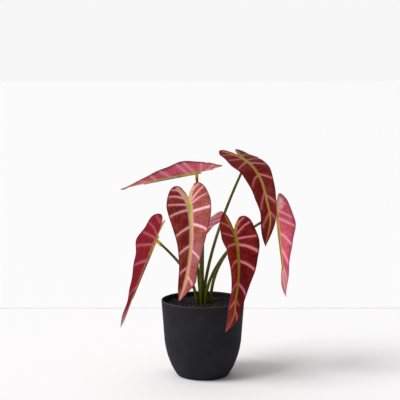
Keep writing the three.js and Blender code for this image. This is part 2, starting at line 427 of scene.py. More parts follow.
@dataclass(frozen=True)
class MouldedPolypropylene:
    """Charcoal polypropylene, injection moulded against a spark-eroded steel: dull, with a fine even
    grain that spreads the light, and a painted highlight: a paler band along the top of the lip."""

    name: str = "moulded_polypropylene"
    colour: str = "222226"
    scuffed: str = "27272b"
    # A painted highlight: the paler colour along the top of the lip, where the light catches it
    painted_lip_highlight: str = "5a5450"
    ior: float = 1.49
    roughness: tuple[float, float] = (0.64, 0.78)
    specular: float = 0.1
    # The real grain is about 0.1 mm; it is drawn at 0.9 mm, so that it shows.
    grain: Grain = Grain(0.9, 2.0)
    patches: Grain = Grain(22.0, 3.0)
    wear: Fade = Fade(0.42, 0.72)
    relief: Relief = Relief(0.06, 0.6)

    def material(self) -> bpy.types.Material:
        """Builds the pot's material.

        Returns:
            The material.
        """
        made, tree = new_material(self.name)
        places = add_node(tree, "ShaderNodeTexCoord").outputs["Object"]
        rim = add_node(tree, "ShaderNodeAttribute", attribute_name="rim").outputs["Fac"]
        patch, grain = (
            add_node(tree, "ShaderNodeTexNoise", pattern.feeds(places)).outputs["Fac"]
            for pattern in (self.patches, self.grain)
        )
        worn = add_node(tree, "ShaderNodeMapRange", self.wear.feeds(patch), interpolation_type="SMOOTHSTEP")
        rough = add_node(tree, "ShaderNodeMapRange", Fade(0.0, 1.0, *self.roughness).feeds(grain))
        bump = add_node(tree, "ShaderNodeBump", self.relief.feeds(grain))
        # The rim's share lays the painted highlight over the top of the lip
        layers = [(worn.outputs["Result"], self.scuffed), (rim, self.painted_lip_highlight)]
        close_surface(tree, {
            "Base Color": layered(tree, self.colour, layers), "Roughness": rough.outputs["Result"],
            "Normal": bump.outputs["Normal"], "IOR": self.ior, "Specular IOR Level": self.specular,
        })
        return made


@dataclass(frozen=True)
class CoirCompost:
    """Coir and peat, milled and dyed near black: no gloss, each grain its own grey or brown."""

    name: str = "milled_coir_compost"
    colour: str = "131215"
    pale: str = "3c3b40"
    brown: str = "171213"
    ior: float = 1.45
    roughness: float = 0.92
    fibre: Grain = Grain(0.8, 4.0, 0.65)
    clods: Grain = Grain(7.0, 2.0)
    relief: Relief = Relief(0.4, 0.7)

    def material(self) -> bpy.types.Material:
        """Builds the compost's material.

        Returns:
            The material.
        """
        made, tree = new_material(self.name)
        places = add_node(tree, "ShaderNodeTexCoord").outputs["Object"]
        tone = add_node(tree, "ShaderNodeAttribute", attribute_name="tone").outputs["Fac"]
        fibre, clod = (
            add_node(tree, "ShaderNodeTexNoise", pattern.feeds(places)).outputs["Fac"]
            for pattern in (self.fibre, self.clods)
        )
        bump = add_node(tree, "ShaderNodeBump", self.relief.feeds(fibre))
        close_surface(tree, {
            "Base Color": layered(tree, self.colour, [(tone, self.pale), (clod, self.brown)]),
            "Normal": bump.outputs["Normal"], "IOR": self.ior, "Roughness": self.roughness,
        })
        return made


@dataclass(frozen=True)
class DrawnPolyethylene:
    """Polyethylene drawn over a wire and painted olive: half gloss, with fine stripes along the stem."""

    name: str = "drawn_polyethylene"
    dark: str = "283002"
    light: str = "70780e"
    # Darker and browner at the foot of the stem, fading out just above the pot's rim
    foot: str = "2e2412"
    ior: float = 1.51
    roughness: float = 0.42
    specular: float = 0.14
    # The stripes are about 0.5 mm wide on the stem; they are drawn at 0.8 mm, so that they show.
    stripes: Grain = Grain(0.8, 2.0)
    stretch: Place = (1.0, 1.0, 0.02)
    streaks: Fade = Fade(0.38, 0.64)
    relief: Relief = Relief(0.12, 0.4)

    def material(self) -> bpy.types.Material:
        """Builds the stems' material.

        Returns:
            The material.
        """
        made, tree = new_material(self.name)
        grain = add_node(tree, "ShaderNodeAttribute", attribute_name="grain").outputs["Vector"]
        foot = add_node(tree, "ShaderNodeAttribute", attribute_name="foot").outputs["Fac"]
        along = add_node(tree, "ShaderNodeMapping", {"Vector": grain, "Scale": self.stretch})
        feeds = self.stripes.feeds(along.outputs["Vector"], per_metre=False)
        stripe = add_node(tree, "ShaderNodeTexNoise", feeds).outputs["Fac"]
        band = add_node(
            tree, "ShaderNodeMapRange", self.streaks.feeds(stripe), interpolation_type="SMOOTHSTEP"
        )
        bump = add_node(tree, "ShaderNodeBump", self.relief.feeds(stripe))
        layers = [(band.outputs["Result"], self.light), (foot, self.foot)]
        close_surface(tree, {
            "Base Color": layered(tree, self.dark, layers), "Normal": bump.outputs["Normal"],
            "IOR": self.ior, "Roughness": self.roughness, "Specular IOR Level": self.specular,
        })
        return made


@dataclass(frozen=True)
class MouldedPolyethylene:
    """Polyethylene moulded on the back of the blade: waxy, olive yellow, browner at the socket's mouth."""

    name: str = "moulded_polyethylene"
    colour: str = "b4a040"
    shade: str = "94802c"
    mouth: str = "6a2c1c"
    ior: float = 1.51
    roughness: float = 0.45
    flow: Grain = Grain(3.0, 3.0)
    relief: Relief = Relief(0.15, 0.3)

    def material(self) -> bpy.types.Material:
        """Builds the material of the ribs and sockets.

        Returns:
            The material.
        """
        made, tree = new_material(self.name)
        grain = add_node(tree, "ShaderNodeAttribute", attribute_name="grain").outputs["Vector"]
        mouth = add_node(tree, "ShaderNodeAttribute", attribute_name="mouth").outputs["Fac"]
        flow = add_node(tree, "ShaderNodeTexNoise", self.flow.feeds(grain, per_metre=False)).outputs["Fac"]
        bump = add_node(tree, "ShaderNodeBump", self.relief.feeds(flow))
        close_surface(tree, {
            "Base Color": layered(tree, self.colour, [(flow, self.shade), (mouth, self.mouth)]),
            "Normal": bump.outputs["Normal"], "IOR": self.ior, "Roughness": self.roughness,
        })
        return made


class Face(Enum):
    """The two faces of a blade."""

    UPPER = "upper"
    UNDER = "under"


@dataclass(frozen=True)
class Band:
    """A colour printed along a line, in millimetres of the gap from that line: where it is full, where
    it ends and how far its edge wanders. strength is its share where it is full."""

    gap: str
    full: float
    end: float
    wander: float
    strength: float = 1.0

    def share(self, tree: Tree, ragged: Socket) -> Socket:
        """Adds the nodes that say how strong the band is at each place.

        Args:
            tree: The node tree.
            ragged: A pattern round 0 that moves the band's edge in and out.

        Returns:
            The socket with the band's share.
        """
        gap = add_node(tree, "ShaderNodeAttribute", attribute_name=self.gap).outputs["Fac"]
        feeds = {0: ragged, 1: self.wander, 2: gap}
        loose = add_node(tree, "ShaderNodeMath", feeds, operation="MULTIPLY_ADD")
        fade = Fade(self.full, self.end, self.strength, 0.0)
        faded = add_node(
            tree, "ShaderNodeMapRange", fade.feeds(loose.outputs[0]), interpolation_type="SMOOTHSTEP"
        )
        return faded.outputs["Result"]


@dataclass(frozen=True)
class PrintedPolyester:
    """Polyester cloth, printed, stiffened and pressed hot: satin, with the veins printed paler, a soft
    bleed of dye round them, blotches of warmer dye and specks between, and a weave that breaks up the
    gloss. A pale patch on some leaves is a painted highlight, and where the two halves take different
    bases the difference is painted light and shade."""

    face: Face = Face.UPPER
    # The bases of the right and the left half; on the front leaves they differ, and the difference is
    # painted light and shade
    right_base: str = "8a1a14"
    left_base: str = "8a1a14"
    blotch: str = "a8392a"
    speck: str = "4c0b0c"
    bleed: str = "b8505a"
    vein: str = "d98088"
    vein_light: str = "f0b4b8"
    rib_edge: str = "d9908a"
    rib_core: str = "c0a04a"
    hub: str = "93a03c"
    margin: str = "5c0f12"
    tip: str = "c8606a"
    # The colour of the painted highlight, a pale patch where the light glints, on leaves that place one
    painted_highlight: str = "f0b8bc"
    point: str = "6b6666"
    blotch_share: float = 0.8
    speck_share: float = 0.8
    light_share: float = 0.45
    core_share: float = 0.85
    bleed_share: float = 0.45
    vein_share: float = 0.92
    margin_reach: float = 2.4
    tip_reach: float = 14.0
    roughness: tuple[float, float] = (0.41, 0.57)
    specular: float = 0.14
    coat: float = 0.03
    coat_roughness: float = 0.36
    ior: float = 1.54
    # The threads lie 0.25 mm apart; the weave is drawn at 0.8 mm, so that it shows.
    weave: Grain = Grain(0.8, 2.0)
    dye: Grain = Grain(11.0, 4.0, 0.6)
    specks: Grain = Grain(2.4, 3.0, 0.7)
    ragged: Grain = Grain(2.6, 3.0, 0.6)
    relief: Relief = Relief(0.15, 0.45)

    def bands(self, core: Socket) -> list[tuple[Band, str | Socket]]:
        """Lists the printed bands, from the first laid on to the last.

        Args:
            core: The socket with the colour of the midrib's core.

        Returns:
            Each band with its colour.
        """
        return [
            # A painted highlight: a pale patch where the light glints on the cloth
            (Band("painted_highlight_gap", -6.0, 4.0, 6.0, 0.85), self.painted_highlight),
            (Band("vein_gap", -0.5, 4.0, 2.5, self.bleed_share), self.bleed),
            (Band("tip_gap", -8.0, self.tip_reach, 6.0, 0.8), self.tip),
            (Band("edge_gap", 0.3, self.margin_reach, 1.4, 0.75), self.margin),
            (Band("vein_gap", -1.2, 1.1, 2.0, self.vein_share), self.vein),
            (Band("vein_gap", -2.3, -0.2, 1.8, self.vein_share), self.vein_light),
            (Band("rib_gap", -1.5, 1.4, 3.0, 0.95), self.rib_edge),
            (Band("core_gap", -1.1, 0.8, 3.2, 0.95), core),
            (Band("hub_gap", -2.0, 1.5, 2.5, 0.85), self.hub),
            (Band("point_gap", 0.0, 0.8, 0.3), self.point),
        ]

    def material(self, leaf: str) -> bpy.types.Material:
        """Builds the material of one face of one blade.

        Args:
            leaf: The leaf's name.

        Returns:
            The material.
        """
        made, tree = new_material(f"printed_polyester_{self.face.value}_{leaf}")
        places = add_node(tree, "ShaderNodeTexCoord").outputs["Object"]
        side = add_node(tree, "ShaderNodeAttribute", attribute_name="side").outputs["Fac"]
        dye, weave, specks, ragged = (
            add_node(tree, "ShaderNodeTexNoise", pattern.feeds(places)).outputs["Fac"]
            for pattern in (self.dye, self.weave, self.specks, self.ragged)
        )
        spread = add_node(tree, "ShaderNodeMath", {0: ragged, 1: 0.5}, operation="SUBTRACT").outputs[0]
        fades = (
            (side, Fade(-1.0, 1.0)), (dye, Fade(0.38, 0.68, 0.0, self.blotch_share)),
            (specks, Fade(0.46, 0.66, 0.0, self.speck_share)),
            (specks, Fade(0.32, 0.48, self.light_share, 0.0)),
            (ragged, Fade(0.5, 0.64, 0.0, self.core_share)), (weave, Fade(0.0, 1.0, *self.roughness)),
        )
        on_left, blotched, dark, light, greened, rough = (
            add_node(
                tree, "ShaderNodeMapRange", fade.feeds(value), interpolation_type="SMOOTHSTEP"
            ).outputs["Result"] for value, fade in fades
        )
        core = layered(tree, self.rib_core, [(greened, self.hub)])
        printed = [(band.share(tree, spread), colour) for band, colour in self.bands(core)]
        # The left half's base goes over the right's: on the front leaves, painted light and shade between
        # the halves
        cloth = layered(tree, self.right_base, [
            (on_left, self.left_base), (blotched, self.blotch), (dark, self.speck), (light, self.bleed),
            *printed,
        ])
        bump = add_node(tree, "ShaderNodeBump", self.relief.feeds(weave))
        close_surface(tree, {
            "Base Color": cloth, "Roughness": rough, "Normal": bump.outputs["Normal"], "IOR": self.ior,
            "Specular IOR Level": self.specular, "Coat Weight": self.coat,
            "Coat Roughness": self.coat_roughness,
        })
        return made


@dataclass(frozen=True)
class PaintedBackdrop:
    """Matte emulsion paint on a smooth board: white and even, without gloss."""

    name: str = "matte_emulsion"
    colour: str = "f3f2f2"
    roughness: float = 0.9
    roller: Grain = Grain(14.0, 3.0)
    relief: Relief = Relief(0.1, 0.05)

    def material(self) -> bpy.types.Material:
        """Builds the backdrop's material.

        Returns:
            The material.
        """
        made, tree = new_material(self.name)
        places = add_node(tree, "ShaderNodeTexCoord").outputs["Object"]
        stipple = add_node(tree, "ShaderNodeTexNoise", self.roller.feeds(places)).outputs["Fac"]
        bump = add_node(tree, "ShaderNodeBump", self.relief.feeds(stipple))
        close_surface(tree, {
            "Base Color": linear(self.colour), "Roughness": self.roughness, "Normal": bump.outputs["Normal"],
        })
        return made


# Pot and compost


@dataclass
class Pot:
    """The moulded pot: a flat base, a rounded belly, a straight flare and a rounded lip."""

    height: float = 120.0
    rim_radius: float = 65.0
    base_radius: float = 39.5
    wall: float = 2.6
    floor: float = 5.0
    shoulder: tuple[float, float] = (60.3, 57.0)
    belly_pull: Line = ((47.0, 9.0), (57.6, 30.0))
    belly_steps: int = 24
    flare_steps: int = 16
    lip_steps: int = 10
    # The rounded edges underneath, as height and how far out from the base's or the recess's radius
    foot_edge: Line = ((0.0, -1.6), (0.15, -0.8), (0.55, 0.0))
    foot_height: float = 1.0
    recess_radius: float = 34.0
    recess_edge: Line = ((0.8, -1.2), (0.4, -0.3), (0.0, 0.5))
    centre: float = 1.0
    # How strong the painted highlight along the top of the lip is, and how far below the rim it starts and
    # is full
    painted_lip_highlight_share: float = 0.55
    painted_lip_highlight_band: tuple[float, float] = (1.3, 0.3)
    sides: int = 160

    def wall_line(self) -> list[tuple[float, float]]:
        """Lists the outside wall from the base up to the rim.

        Returns:
            Pairs of height and radius.
        """
        pulls = np.array([(self.base_radius, 0.0), *self.belly_pull, self.shoulder])
        belly = pulled_curve(pulls, np.linspace(0.0, 1.0, self.belly_steps + 1))
        flare = np.linspace(self.shoulder, (self.rim_radius, self.height), self.flare_steps + 1)[1:]
        return [(height, radius) for radius, height in np.vstack([belly, flare])]

    def radius_at(self, height: float) -> float:
        """Gives the outside radius at a height."""
        line = self.wall_line()
        return float(np.interp(height, [h for h, _ in line], [r for _, r in line]))

    def profile(self) -> list[tuple[float, float]]:
        """Lists the closed profile, from under the base round over the lip to the inner floor.

        Returns:
            Pairs of height and radius.
        """
        lip = self.wall / 2
        top = self.height - lip
        recess = [(height, self.recess_radius + out) for height, out in self.recess_edge]
        foot = [(height, self.base_radius + out) for height, out in self.foot_edge]
        outside = [place for place in self.wall_line() if self.foot_height < place[0] < top]
        crown = [(top + lip * math.sin(turn), self.rim_radius - lip + lip * math.cos(turn))
                 for turn in np.linspace(0.0, math.pi, self.lip_steps + 1)]
        inner = [(height, radius - self.wall) for height, radius in reversed(outside) if height > self.floor]
        floor = [(self.floor, self.radius_at(self.floor) - self.wall), (self.floor, self.centre)]
        return [(recess[0][0], self.centre), *recess, *foot, *outside, *crown, *inner, *floor]

    def build(self) -> bpy.types.Object:
        """Builds the pot in place of the CAD pot.

        Returns:
            The finished piece.
        """
        shell = turned_shell(ORIGIN, UP, self.profile(), self.sides)
        # The painted highlight along the top of the lip
        low, high = (self.height - below for below in self.painted_lip_highlight_band)
        shell.values = {"rim": self.painted_lip_highlight_share * smooth_step(shell.points[:, 2], low, high)}
        return piece_from("charcoal_pot", shell, [MouldedPolypropylene().material()])


@dataclass
class Compost:
    """The fill: a low mound with raised clods, strewn with loose grains."""

    pot: Pot
    gap: float = 0.3
    surface: float = 110.0
    mound: float = 2.0
    relief: float = 0.8
    clod: float = 11.0
    # The finer lumps: how high they are, how fast their waves turn in each millimetre, and how far the
    # waves bend each other
    lump_height: float = 0.455
    lump_turns: tuple[float, ...] = (1.31, 0.83, 1.17, 0.71, 2.3, 1.9, 0.5)
    lump_bends: Place = (1.7, 1.3, 2.0)
    low_lumps: float = 0.6
    ground_tone: float = 0.25
    # How far below its surface the fill's plain side ends, and how far in its lower edge is cut
    side_end: float = 1.0
    low_bevel: float = 0.5
    rings: int = 60
    sides: int = 180
    grains: int = 2600
    grain_sizes: tuple[float, float] = (0.7, 3.0)
    # The larger, the more of the grains are small
    small_grains: float = 2.6
    grain_shape: tuple[float, float] = (0.55, 1.15)
    grain_dents: float = 0.22
    fibre_share: float = 0.22
    fibre_shape: Place = (0.18, 0.22, 2.4)
    fibre_size: float = 1.5
    fibre_tilt: float = 12.0
    stem_room: float = 2.4
    # How high a grain sits, as a share of its size
    seat: float = 0.25
    seed: int = 11

    def height_at(self, x: Array, y: Array) -> Array:
        """Gives the height of the compost: the mound, the clods of the solid and finer lumps.

        Args:
            x: Places to the right of the pot's axis.
            y: Places behind it.

        Returns:
            The height at each place.
        """
        turn = 2.0 * math.pi / self.clod
        mound = self.mound * (1.0 - (x * x + y * y) / self.pot.rim_radius ** 2)
        clods = np.sin(x * turn) * np.cos(y * turn) + np.sin((x - y) * turn / 2.0)
        a, b, c, d, e, f, g = self.lump_turns
        bend_x, bend_y, bend_low = self.lump_bends
        lumps = (
            np.sin(x * a + bend_x * np.sin(y * b)) * np.cos(y * c + bend_y * np.sin(x * d))
            + self.low_lumps * np.sin(x * e - y * f + bend_low * np.sin(y * g))
        )
        return self.surface + mound + self.relief * clods / 2.0 + self.lump_height * lumps

    def edge(self) -> float:
        """Gives the radius of the compost's surface."""
        return self.pot.radius_at(self.surface) - self.pot.wall - self.gap

    def body(self) -> Shell:
        """Makes the fill's body with its lumpy top.

        Returns:
            The body, closed underneath.
        """
        low = self.pot.floor + self.gap
        side = [(height, radius - self.pot.wall - self.gap) for height, radius in self.pot.wall_line()
                if low < height < self.surface - self.side_end]
        profile = [(low, self.pot.centre), (low, side[0][1] - self.low_bevel), *side]
        tops = [(self.surface, self.edge() * ring / self.rings) for ring in range(self.rings, 0, -1)]
        shell = turned_shell(ORIGIN, UP, profile + tops, self.sides)
        top = shell.points[:, 2] > self.surface - SLIVER
        shell.points[top, 2] = self.height_at(shell.points[top, 0], shell.points[top, 1])
        shell.values = {"tone": np.full(len(shell.points), self.ground_tone)}
        return shell

    def loose_grains(self, feet: list[tuple[float, float]]) -> list[Shell]:
        """Strews crumbs and lying fibres of seeded sizes and places over the top, clear of the stems.

        Args:
            feet: Where the stems stand.

        Returns:
            One small closed shell for each crumb or fibre.
        """
        draw = np.random.default_rng(self.seed)
        corners, faces = rounded_block()
        edge = self.edge()
        shells = []
        for _ in range(self.grains):
            size = mix(*self.grain_sizes, draw.random() ** self.small_grains)
            reach = (edge - size) * math.sqrt(draw.random())
            angle = draw.random() * 2.0 * math.pi
            spin = random_turn(draw)
            stretch = draw.uniform(*self.grain_shape, 3) * size
            rough = 1.0 + draw.uniform(-self.grain_dents, self.grain_dents, (len(corners), 1))
            tone = draw.random()
            if draw.random() < self.fibre_share:
                size = self.fibre_size
                reach = min(reach, edge - size * self.fibre_shape[2])
                stretch = np.array(self.fibre_shape) * size
                spin = lying_turn(draw, self.fibre_tilt)
            x, y = reach * math.cos(angle), reach * math.sin(angle)
            if min(math.hypot(x - a, y - b) for a, b in feet) < self.stem_room + size:
                continue
            height = float(self.height_at(np.array(x), np.array(y))) + self.seat * size
            points = (corners * rough * stretch) @ spin.T + np.array([x, y, height])
            shells.append(Shell(points, faces, {"tone": np.full(len(points), tone)}))
        return shells

    def build(self, feet: list[tuple[float, float]]) -> bpy.types.Object:
        """Builds the compost in place of the CAD soil.

        Args:
            feet: Where the stems stand.

        Returns:
            The finished piece.
        """
        shell = joined([self.body(), *self.loose_grains(feet)])
        return piece_from("compost", shell, [CoirCompost().material()], NO_EDGES)


def rounded_block() -> tuple[Array, Faces]:
    """Makes a small round lump: an octahedron with each side cut in four.

    Returns:
        Its corners, 1 from the centre, and its faces.
    """
    points = [(1, 0, 0), (-1, 0, 0), (0, 1, 0), (0, -1, 0), (0, 0, 1), (0, 0, -1)]
    faces = [(0, 2, 4), (2, 1, 4), (1, 3, 4), (3, 0, 4), (2, 0, 5), (1, 2, 5), (3, 1, 5), (0, 3, 5)]
    corners = [np.array(p, float) for p in points]
    halves: dict[tuple[int, int], int] = {}

    def half(a: int, b: int) -> int:
        """Finds the corner halfway between two, and makes it the first time.

        Args:
            a: The number of one corner.
            b: The number of the other.

        Returns:
            The number of the corner between them.
        """
        key = (min(a, b), max(a, b))
        if key not in halves:
            halves[key] = len(corners)
            corners.append(unit(corners[a] + corners[b]))
        return halves[key]

    cut = []
    for a, b, c in faces:
        ab, bc, ca = half(a, b), half(b, c), half(c, a)
        cut.extend([(a, ab, ca), (b, bc, ab), (c, ca, bc), (ab, bc, ca)])
    return np.array(corners), cut


def random_turn(draw: np.random.Generator) -> Array:
    """Draws a rotation matrix.

    Args:
        draw: The seeded source of numbers.

    Returns:
        A 3 by 3 rotation.
    """
    w, x, y, z = unit(draw.normal(size=4))
    return np.array([
        [1 - 2 * (y * y + z * z), 2 * (x * y - z * w), 2 * (x * z + y * w)],
        [2 * (x * y + z * w), 1 - 2 * (x * x + z * z), 2 * (y * z - x * w)],
        [2 * (x * z - y * w), 2 * (y * z + x * w), 1 - 2 * (x * x + y * y)],
    ])


def lying_turn(draw: np.random.Generator, tilt: float) -> Array:
    """Draws a turn that lays a form's third axis nearly level.

    Args:
        draw: The seeded source of numbers.
        tilt: The most degrees that the axis leans up or down.

    Returns:
        A 3 by 3 rotation.
    """
    along = direction_of(draw.uniform(0.0, 360.0), draw.uniform(-tilt, tilt))
    side = unit(np.cross(along, UP))
    return np.stack([side, np.cross(along, side), along], axis=1)


# Blades

# The blade's own millimetres, from the hub to the tip, behind the hub, and out from the midrib; each
# leaf scales them.
BLADE_LENGTH = 152.0
LOBE_LENGTH = 36.0
HALF_WIDTH = 37.5

# How the cloth lies: its waves from hub to tip, how far the right half's are behind the left half's in
# radians, how round the crease at the midrib is, and from where on a leaf twists.
RIPPLES = 3.5
RIPPLE_SHIFT = 2.1
CREASE_ROUNDING = 1.0
TWIST_START = 88.0
CURVE_STEPS = 400

# How far below the blade's middle surface the moulding stays
CLOTH_GAP = 0.65

# The outline of half a blade, from the notch between the lobes to the tip: how far it lies out from the
# midrib, how far along the blade, and where the vein that ends there leaves the midrib.
MARGIN = np.array([
    (0, -15, -15), (5, -25, -12), (13, -34, -9), (23, -34, -6),
    (32, -24, -3), (37.5, -5, 0), (36, 15, 6), (30, 37, 19), (23.5, 60, 37),
    (18.5, 82, 57), (14.5, 102, 79), (11.5, 120, 102), (7, 138, 126),
    (0, 152, 152),
])


def margin_at(turns: Array) -> Array:
    """Follows the outline as one smooth curve.

    Args:
        turns: Shares of the way from the notch to the tip.

    Returns:
        Out, along and root at each share, shape (n, 3).
    """
    ends = np.vstack([2 * MARGIN[0] - MARGIN[1], MARGIN, 2 * MARGIN[-1] - MARGIN[-2]])
    spans = len(MARGIN) - 1
    spot = np.clip(turns * spans, 0.0, spans - 1e-9)
    span = spot.astype(int)
    share = (spot - span)[:, None]
    before, start, end, after = (ends[span + k] for k in range(4))
    leave, arrive = 0.5 * (end - before), 0.5 * (after - start)
    return (
        start + leave * share + (3 * (end - start) - 2 * leave - arrive) * share ** 2
        + (2 * (start - end) + leave + arrive) * share ** 3
    )


def gap_to_line(points: Array, line: Array, half_widths: Array) -> Array:
    """Measures how far points lie outside a band drawn along a line.

    Args:
        points: Places, shape (n, 2).
        line: The line's places, shape (m, 2).
        half_widths: The band's half width at each of them.

    Returns:
        The gap at each point, negative inside the band.
    """
    best = np.full(len(points), np.inf)
    for a, b, wide, narrow in zip(line[:-1], line[1:], half_widths[:-1], half_widths[1:]):
        step = b - a
        share = np.clip(((points - a) @ step) / (step @ step), 0.0, 1.0)
        away = np.linalg.norm(points - a - share[:, None] * step, axis=1)
        best = np.minimum(best, away - mix(wide, narrow, share))
    return best


@dataclass(frozen=True)
class Vein:
    """One printed vein on half a blade: its two ends, as out and along, its width at each, and how far
    it bows, as a share of its length."""

    start: tuple[float, float]
    end: tuple[float, float]
    widths: tuple[float, float] = (3.4, 2.0)
    bow: float = 0.12
    steps: int = 10

    def gap(self, points: Array) -> Array:
        """Measures how far points lie outside this vein.

        Args:
            points: Places as out and along, shape (n, 2).

        Returns:
            The gap at each point, negative inside the vein.
        """
        start, end = np.array(self.start), np.array(self.end)
        chord = end - start
        pull = (start + end) / 2 + self.bow * np.array([chord[1], -chord[0]])
        turns = np.linspace(0.0, 1.0, self.steps + 1)
        return gap_to_line(points, pulled_curve((start, pull, end), turns), mix(*self.widths, turns) / 2)


@dataclass(frozen=True)
class Half:
    """The printed veins of half a blade: the one back into the lobe, those out to the margin, and how
    wide the pink flank on each side of the first one is."""

    back: Vein
    side: tuple[Vein, ...]
    flank: float = 1.4


# How wide the rib back into a lobe is printed, at the hub and at its end
BACK_RIB_WIDTHS = (7, 3.8)

FINE_HALF = Half(Vein((0, -3), (16.3, -31), (11, 5.5), 0.1), (
    Vein((13, -26), (26.5, -29.5), (3, 2)), Vein((8, -14), (32.5, -19), (3.4, 2.4)),
    Vein((0, -2.5), (35, -5.5), (3.6, 2.6), 0.05), Vein((0, 5), (33.5, 13.5), (4.2, 3)),
    Vein((0, 31), (26, 49), (4.4, 3.2)), Vein((0, 61), (19.5, 80), (4.2, 3)),
    Vein((0, 96), (13, 112), (3.4, 2.2)),
), 2.7)
BOLD_HALF = Half(Vein((0, -2), (11, -31), (8, 4.5), 0.1), (
    Vein((10, -25), (20.5, -32.5), (3, 2)), Vein((6.5, -11.5), (28, -27), (3.6, 2.4)),
    Vein((3, -4.5), (34, -16.5), bow=0.08), Vein((0, 8.5), (34.5, 5), (5.2, 4), 0.03),
    Vein((0, 28), (28.5, 38), (5.6, 3.8)), Vein((0, 69), (18.5, 83), (4.4, 3)),
    Vein((0, 110), (9.5, 123), (3.6, 2.2)),
))
FALLING_HALF = Half(Vein((0, -3), (10, -30), BACK_RIB_WIDTHS, 0.1), (
    Vein((8, -22), (20, -32), (2.8, 2)), Vein((5, -9), (28, -23), (3.6, 2.6)),
    Vein((1, 0), (34, 1), (4, 2.6), 0.03), Vein((0, 9), (31.5, 22.5), (5, 4.8)),
    Vein((0, 35.5), (26, 51), (5, 4.4), 0.15), Vein((1, 72), (16.5, 89), (4.6, 3.4)),
    Vein((0, 99), (7, 106), (2.4, 1.6)), Vein((0, 115), (8, 131), (3.4, 2)),
))
NARROW_HALF = Half(Vein((0, -3), (16.5, -31), BACK_RIB_WIDTHS, 0.1), (
    Vein((12, -18), (33, -23), (3.2, 2.2)), Vein((7, -4), (34.5, -8), (3.6, 2.6), 0.05),
    Vein((1, 8), (30, 14.5), (4.8, 3.4), 0.05), Vein((0, 35), (24, 50), (4.8, 3), 0.22),
    Vein((1, 70), (18, 88), (3.8, 2.6)), Vein((0, 99), (12, 115), (4.2, 3)),
))
RAISED_HALF = Half(Vein((0, -3), (11, -32), BACK_RIB_WIDTHS, 0.25), (
    Vein((10, -24), (25, -29), (2.8, 2)), Vein((5, -6), (32, -15.5), (3.4, 2.6), 0.15),
    Vein((6, 0.5), (34, 0), (4, 3), 0.02), Vein((3, 11.5), (33, 24), (5, 4.4), 0.03),
    Vein((1, 38), (26, 55), (6, 3.2), 0.08), Vein((0, 81), (12, 98), (3.8, 2.6), 0.05),
))
STEEP_HALF = Half(Vein((0, -2), (14, -31), BACK_RIB_WIDTHS, 0.1), (
    Vein((11, -24), (26, -28), (3.4, 2.2)), Vein((6, -12), (34, -13), (4, 2.8)),
    Vein((0, -1), (34.5, 7), (4, 3), 0.06), Vein((0, 7), (30, 35), (5.6, 4), 0.06),
    Vein((0, 18), (26, 47), (5.6, 3.6), 0.06), Vein((0, 50), (19, 77), (5.2, 3.4), 0.06),
    Vein((0, 78), (15, 95), (4.4, 2.8), 0.06), Vein((0, 96), (11, 118), (4, 2.4), 0.06),
))
HANGING_HALF = Half(Vein((0, -2), (13, -31), BACK_RIB_WIDTHS, 0.1), (
    Vein((4, -13), (28, -16), (3.8, 2.4)), Vein((2, -5), (31, 9), (5, 3.4), 0.06),
    Vein((0, 8), (32.5, 27), (5.2, 3.6), 0.06), Vein((0, 34), (23.5, 61), (5, 3.4), 0.1),
    Vein((0, 64), (14.5, 93), (4.8, 3), 0.08), Vein((0, 98), (9, 126), (4.4, 2.4), 0.08),
))
TURNED_RIGHT_HALF = Half(Vein((0, -3), (17, -31), BACK_RIB_WIDTHS, 0.1), (
    Vein((9, -17), (30, -23), (2.8, 2)), Vein((6, -4), (33, -8), (3.2, 2.4), 0.03),
    Vein((2, 5), (30, 16), (4.6, 2.6), 0.05), Vein((1, 37), (20, 54), (4.6, 3), 0.28),
    Vein((1, 67), (13, 94), (3.8, 2.4), 0.1), Vein((1, 99), (9, 124), (3.6, 2.2), 0.15),
))
TURNED_LEFT_HALF = Half(Vein((0, -2), (12, -30), BACK_RIB_WIDTHS, 0.1), (
    Vein((6, -12), (27, -22), (3, 2)), Vein((3, 1), (35, -3), (3.6, 2.4), 0.03),
    Vein((0, 9), (34, 20), (5.4, 3.6), 0.08), Vein((0, 34), (28, 51), (5, 3.2), 0.06),
    Vein((0, 71), (19, 90), (4, 2.6)), Vein((0, 98), (13, 111), (3, 2)),
))


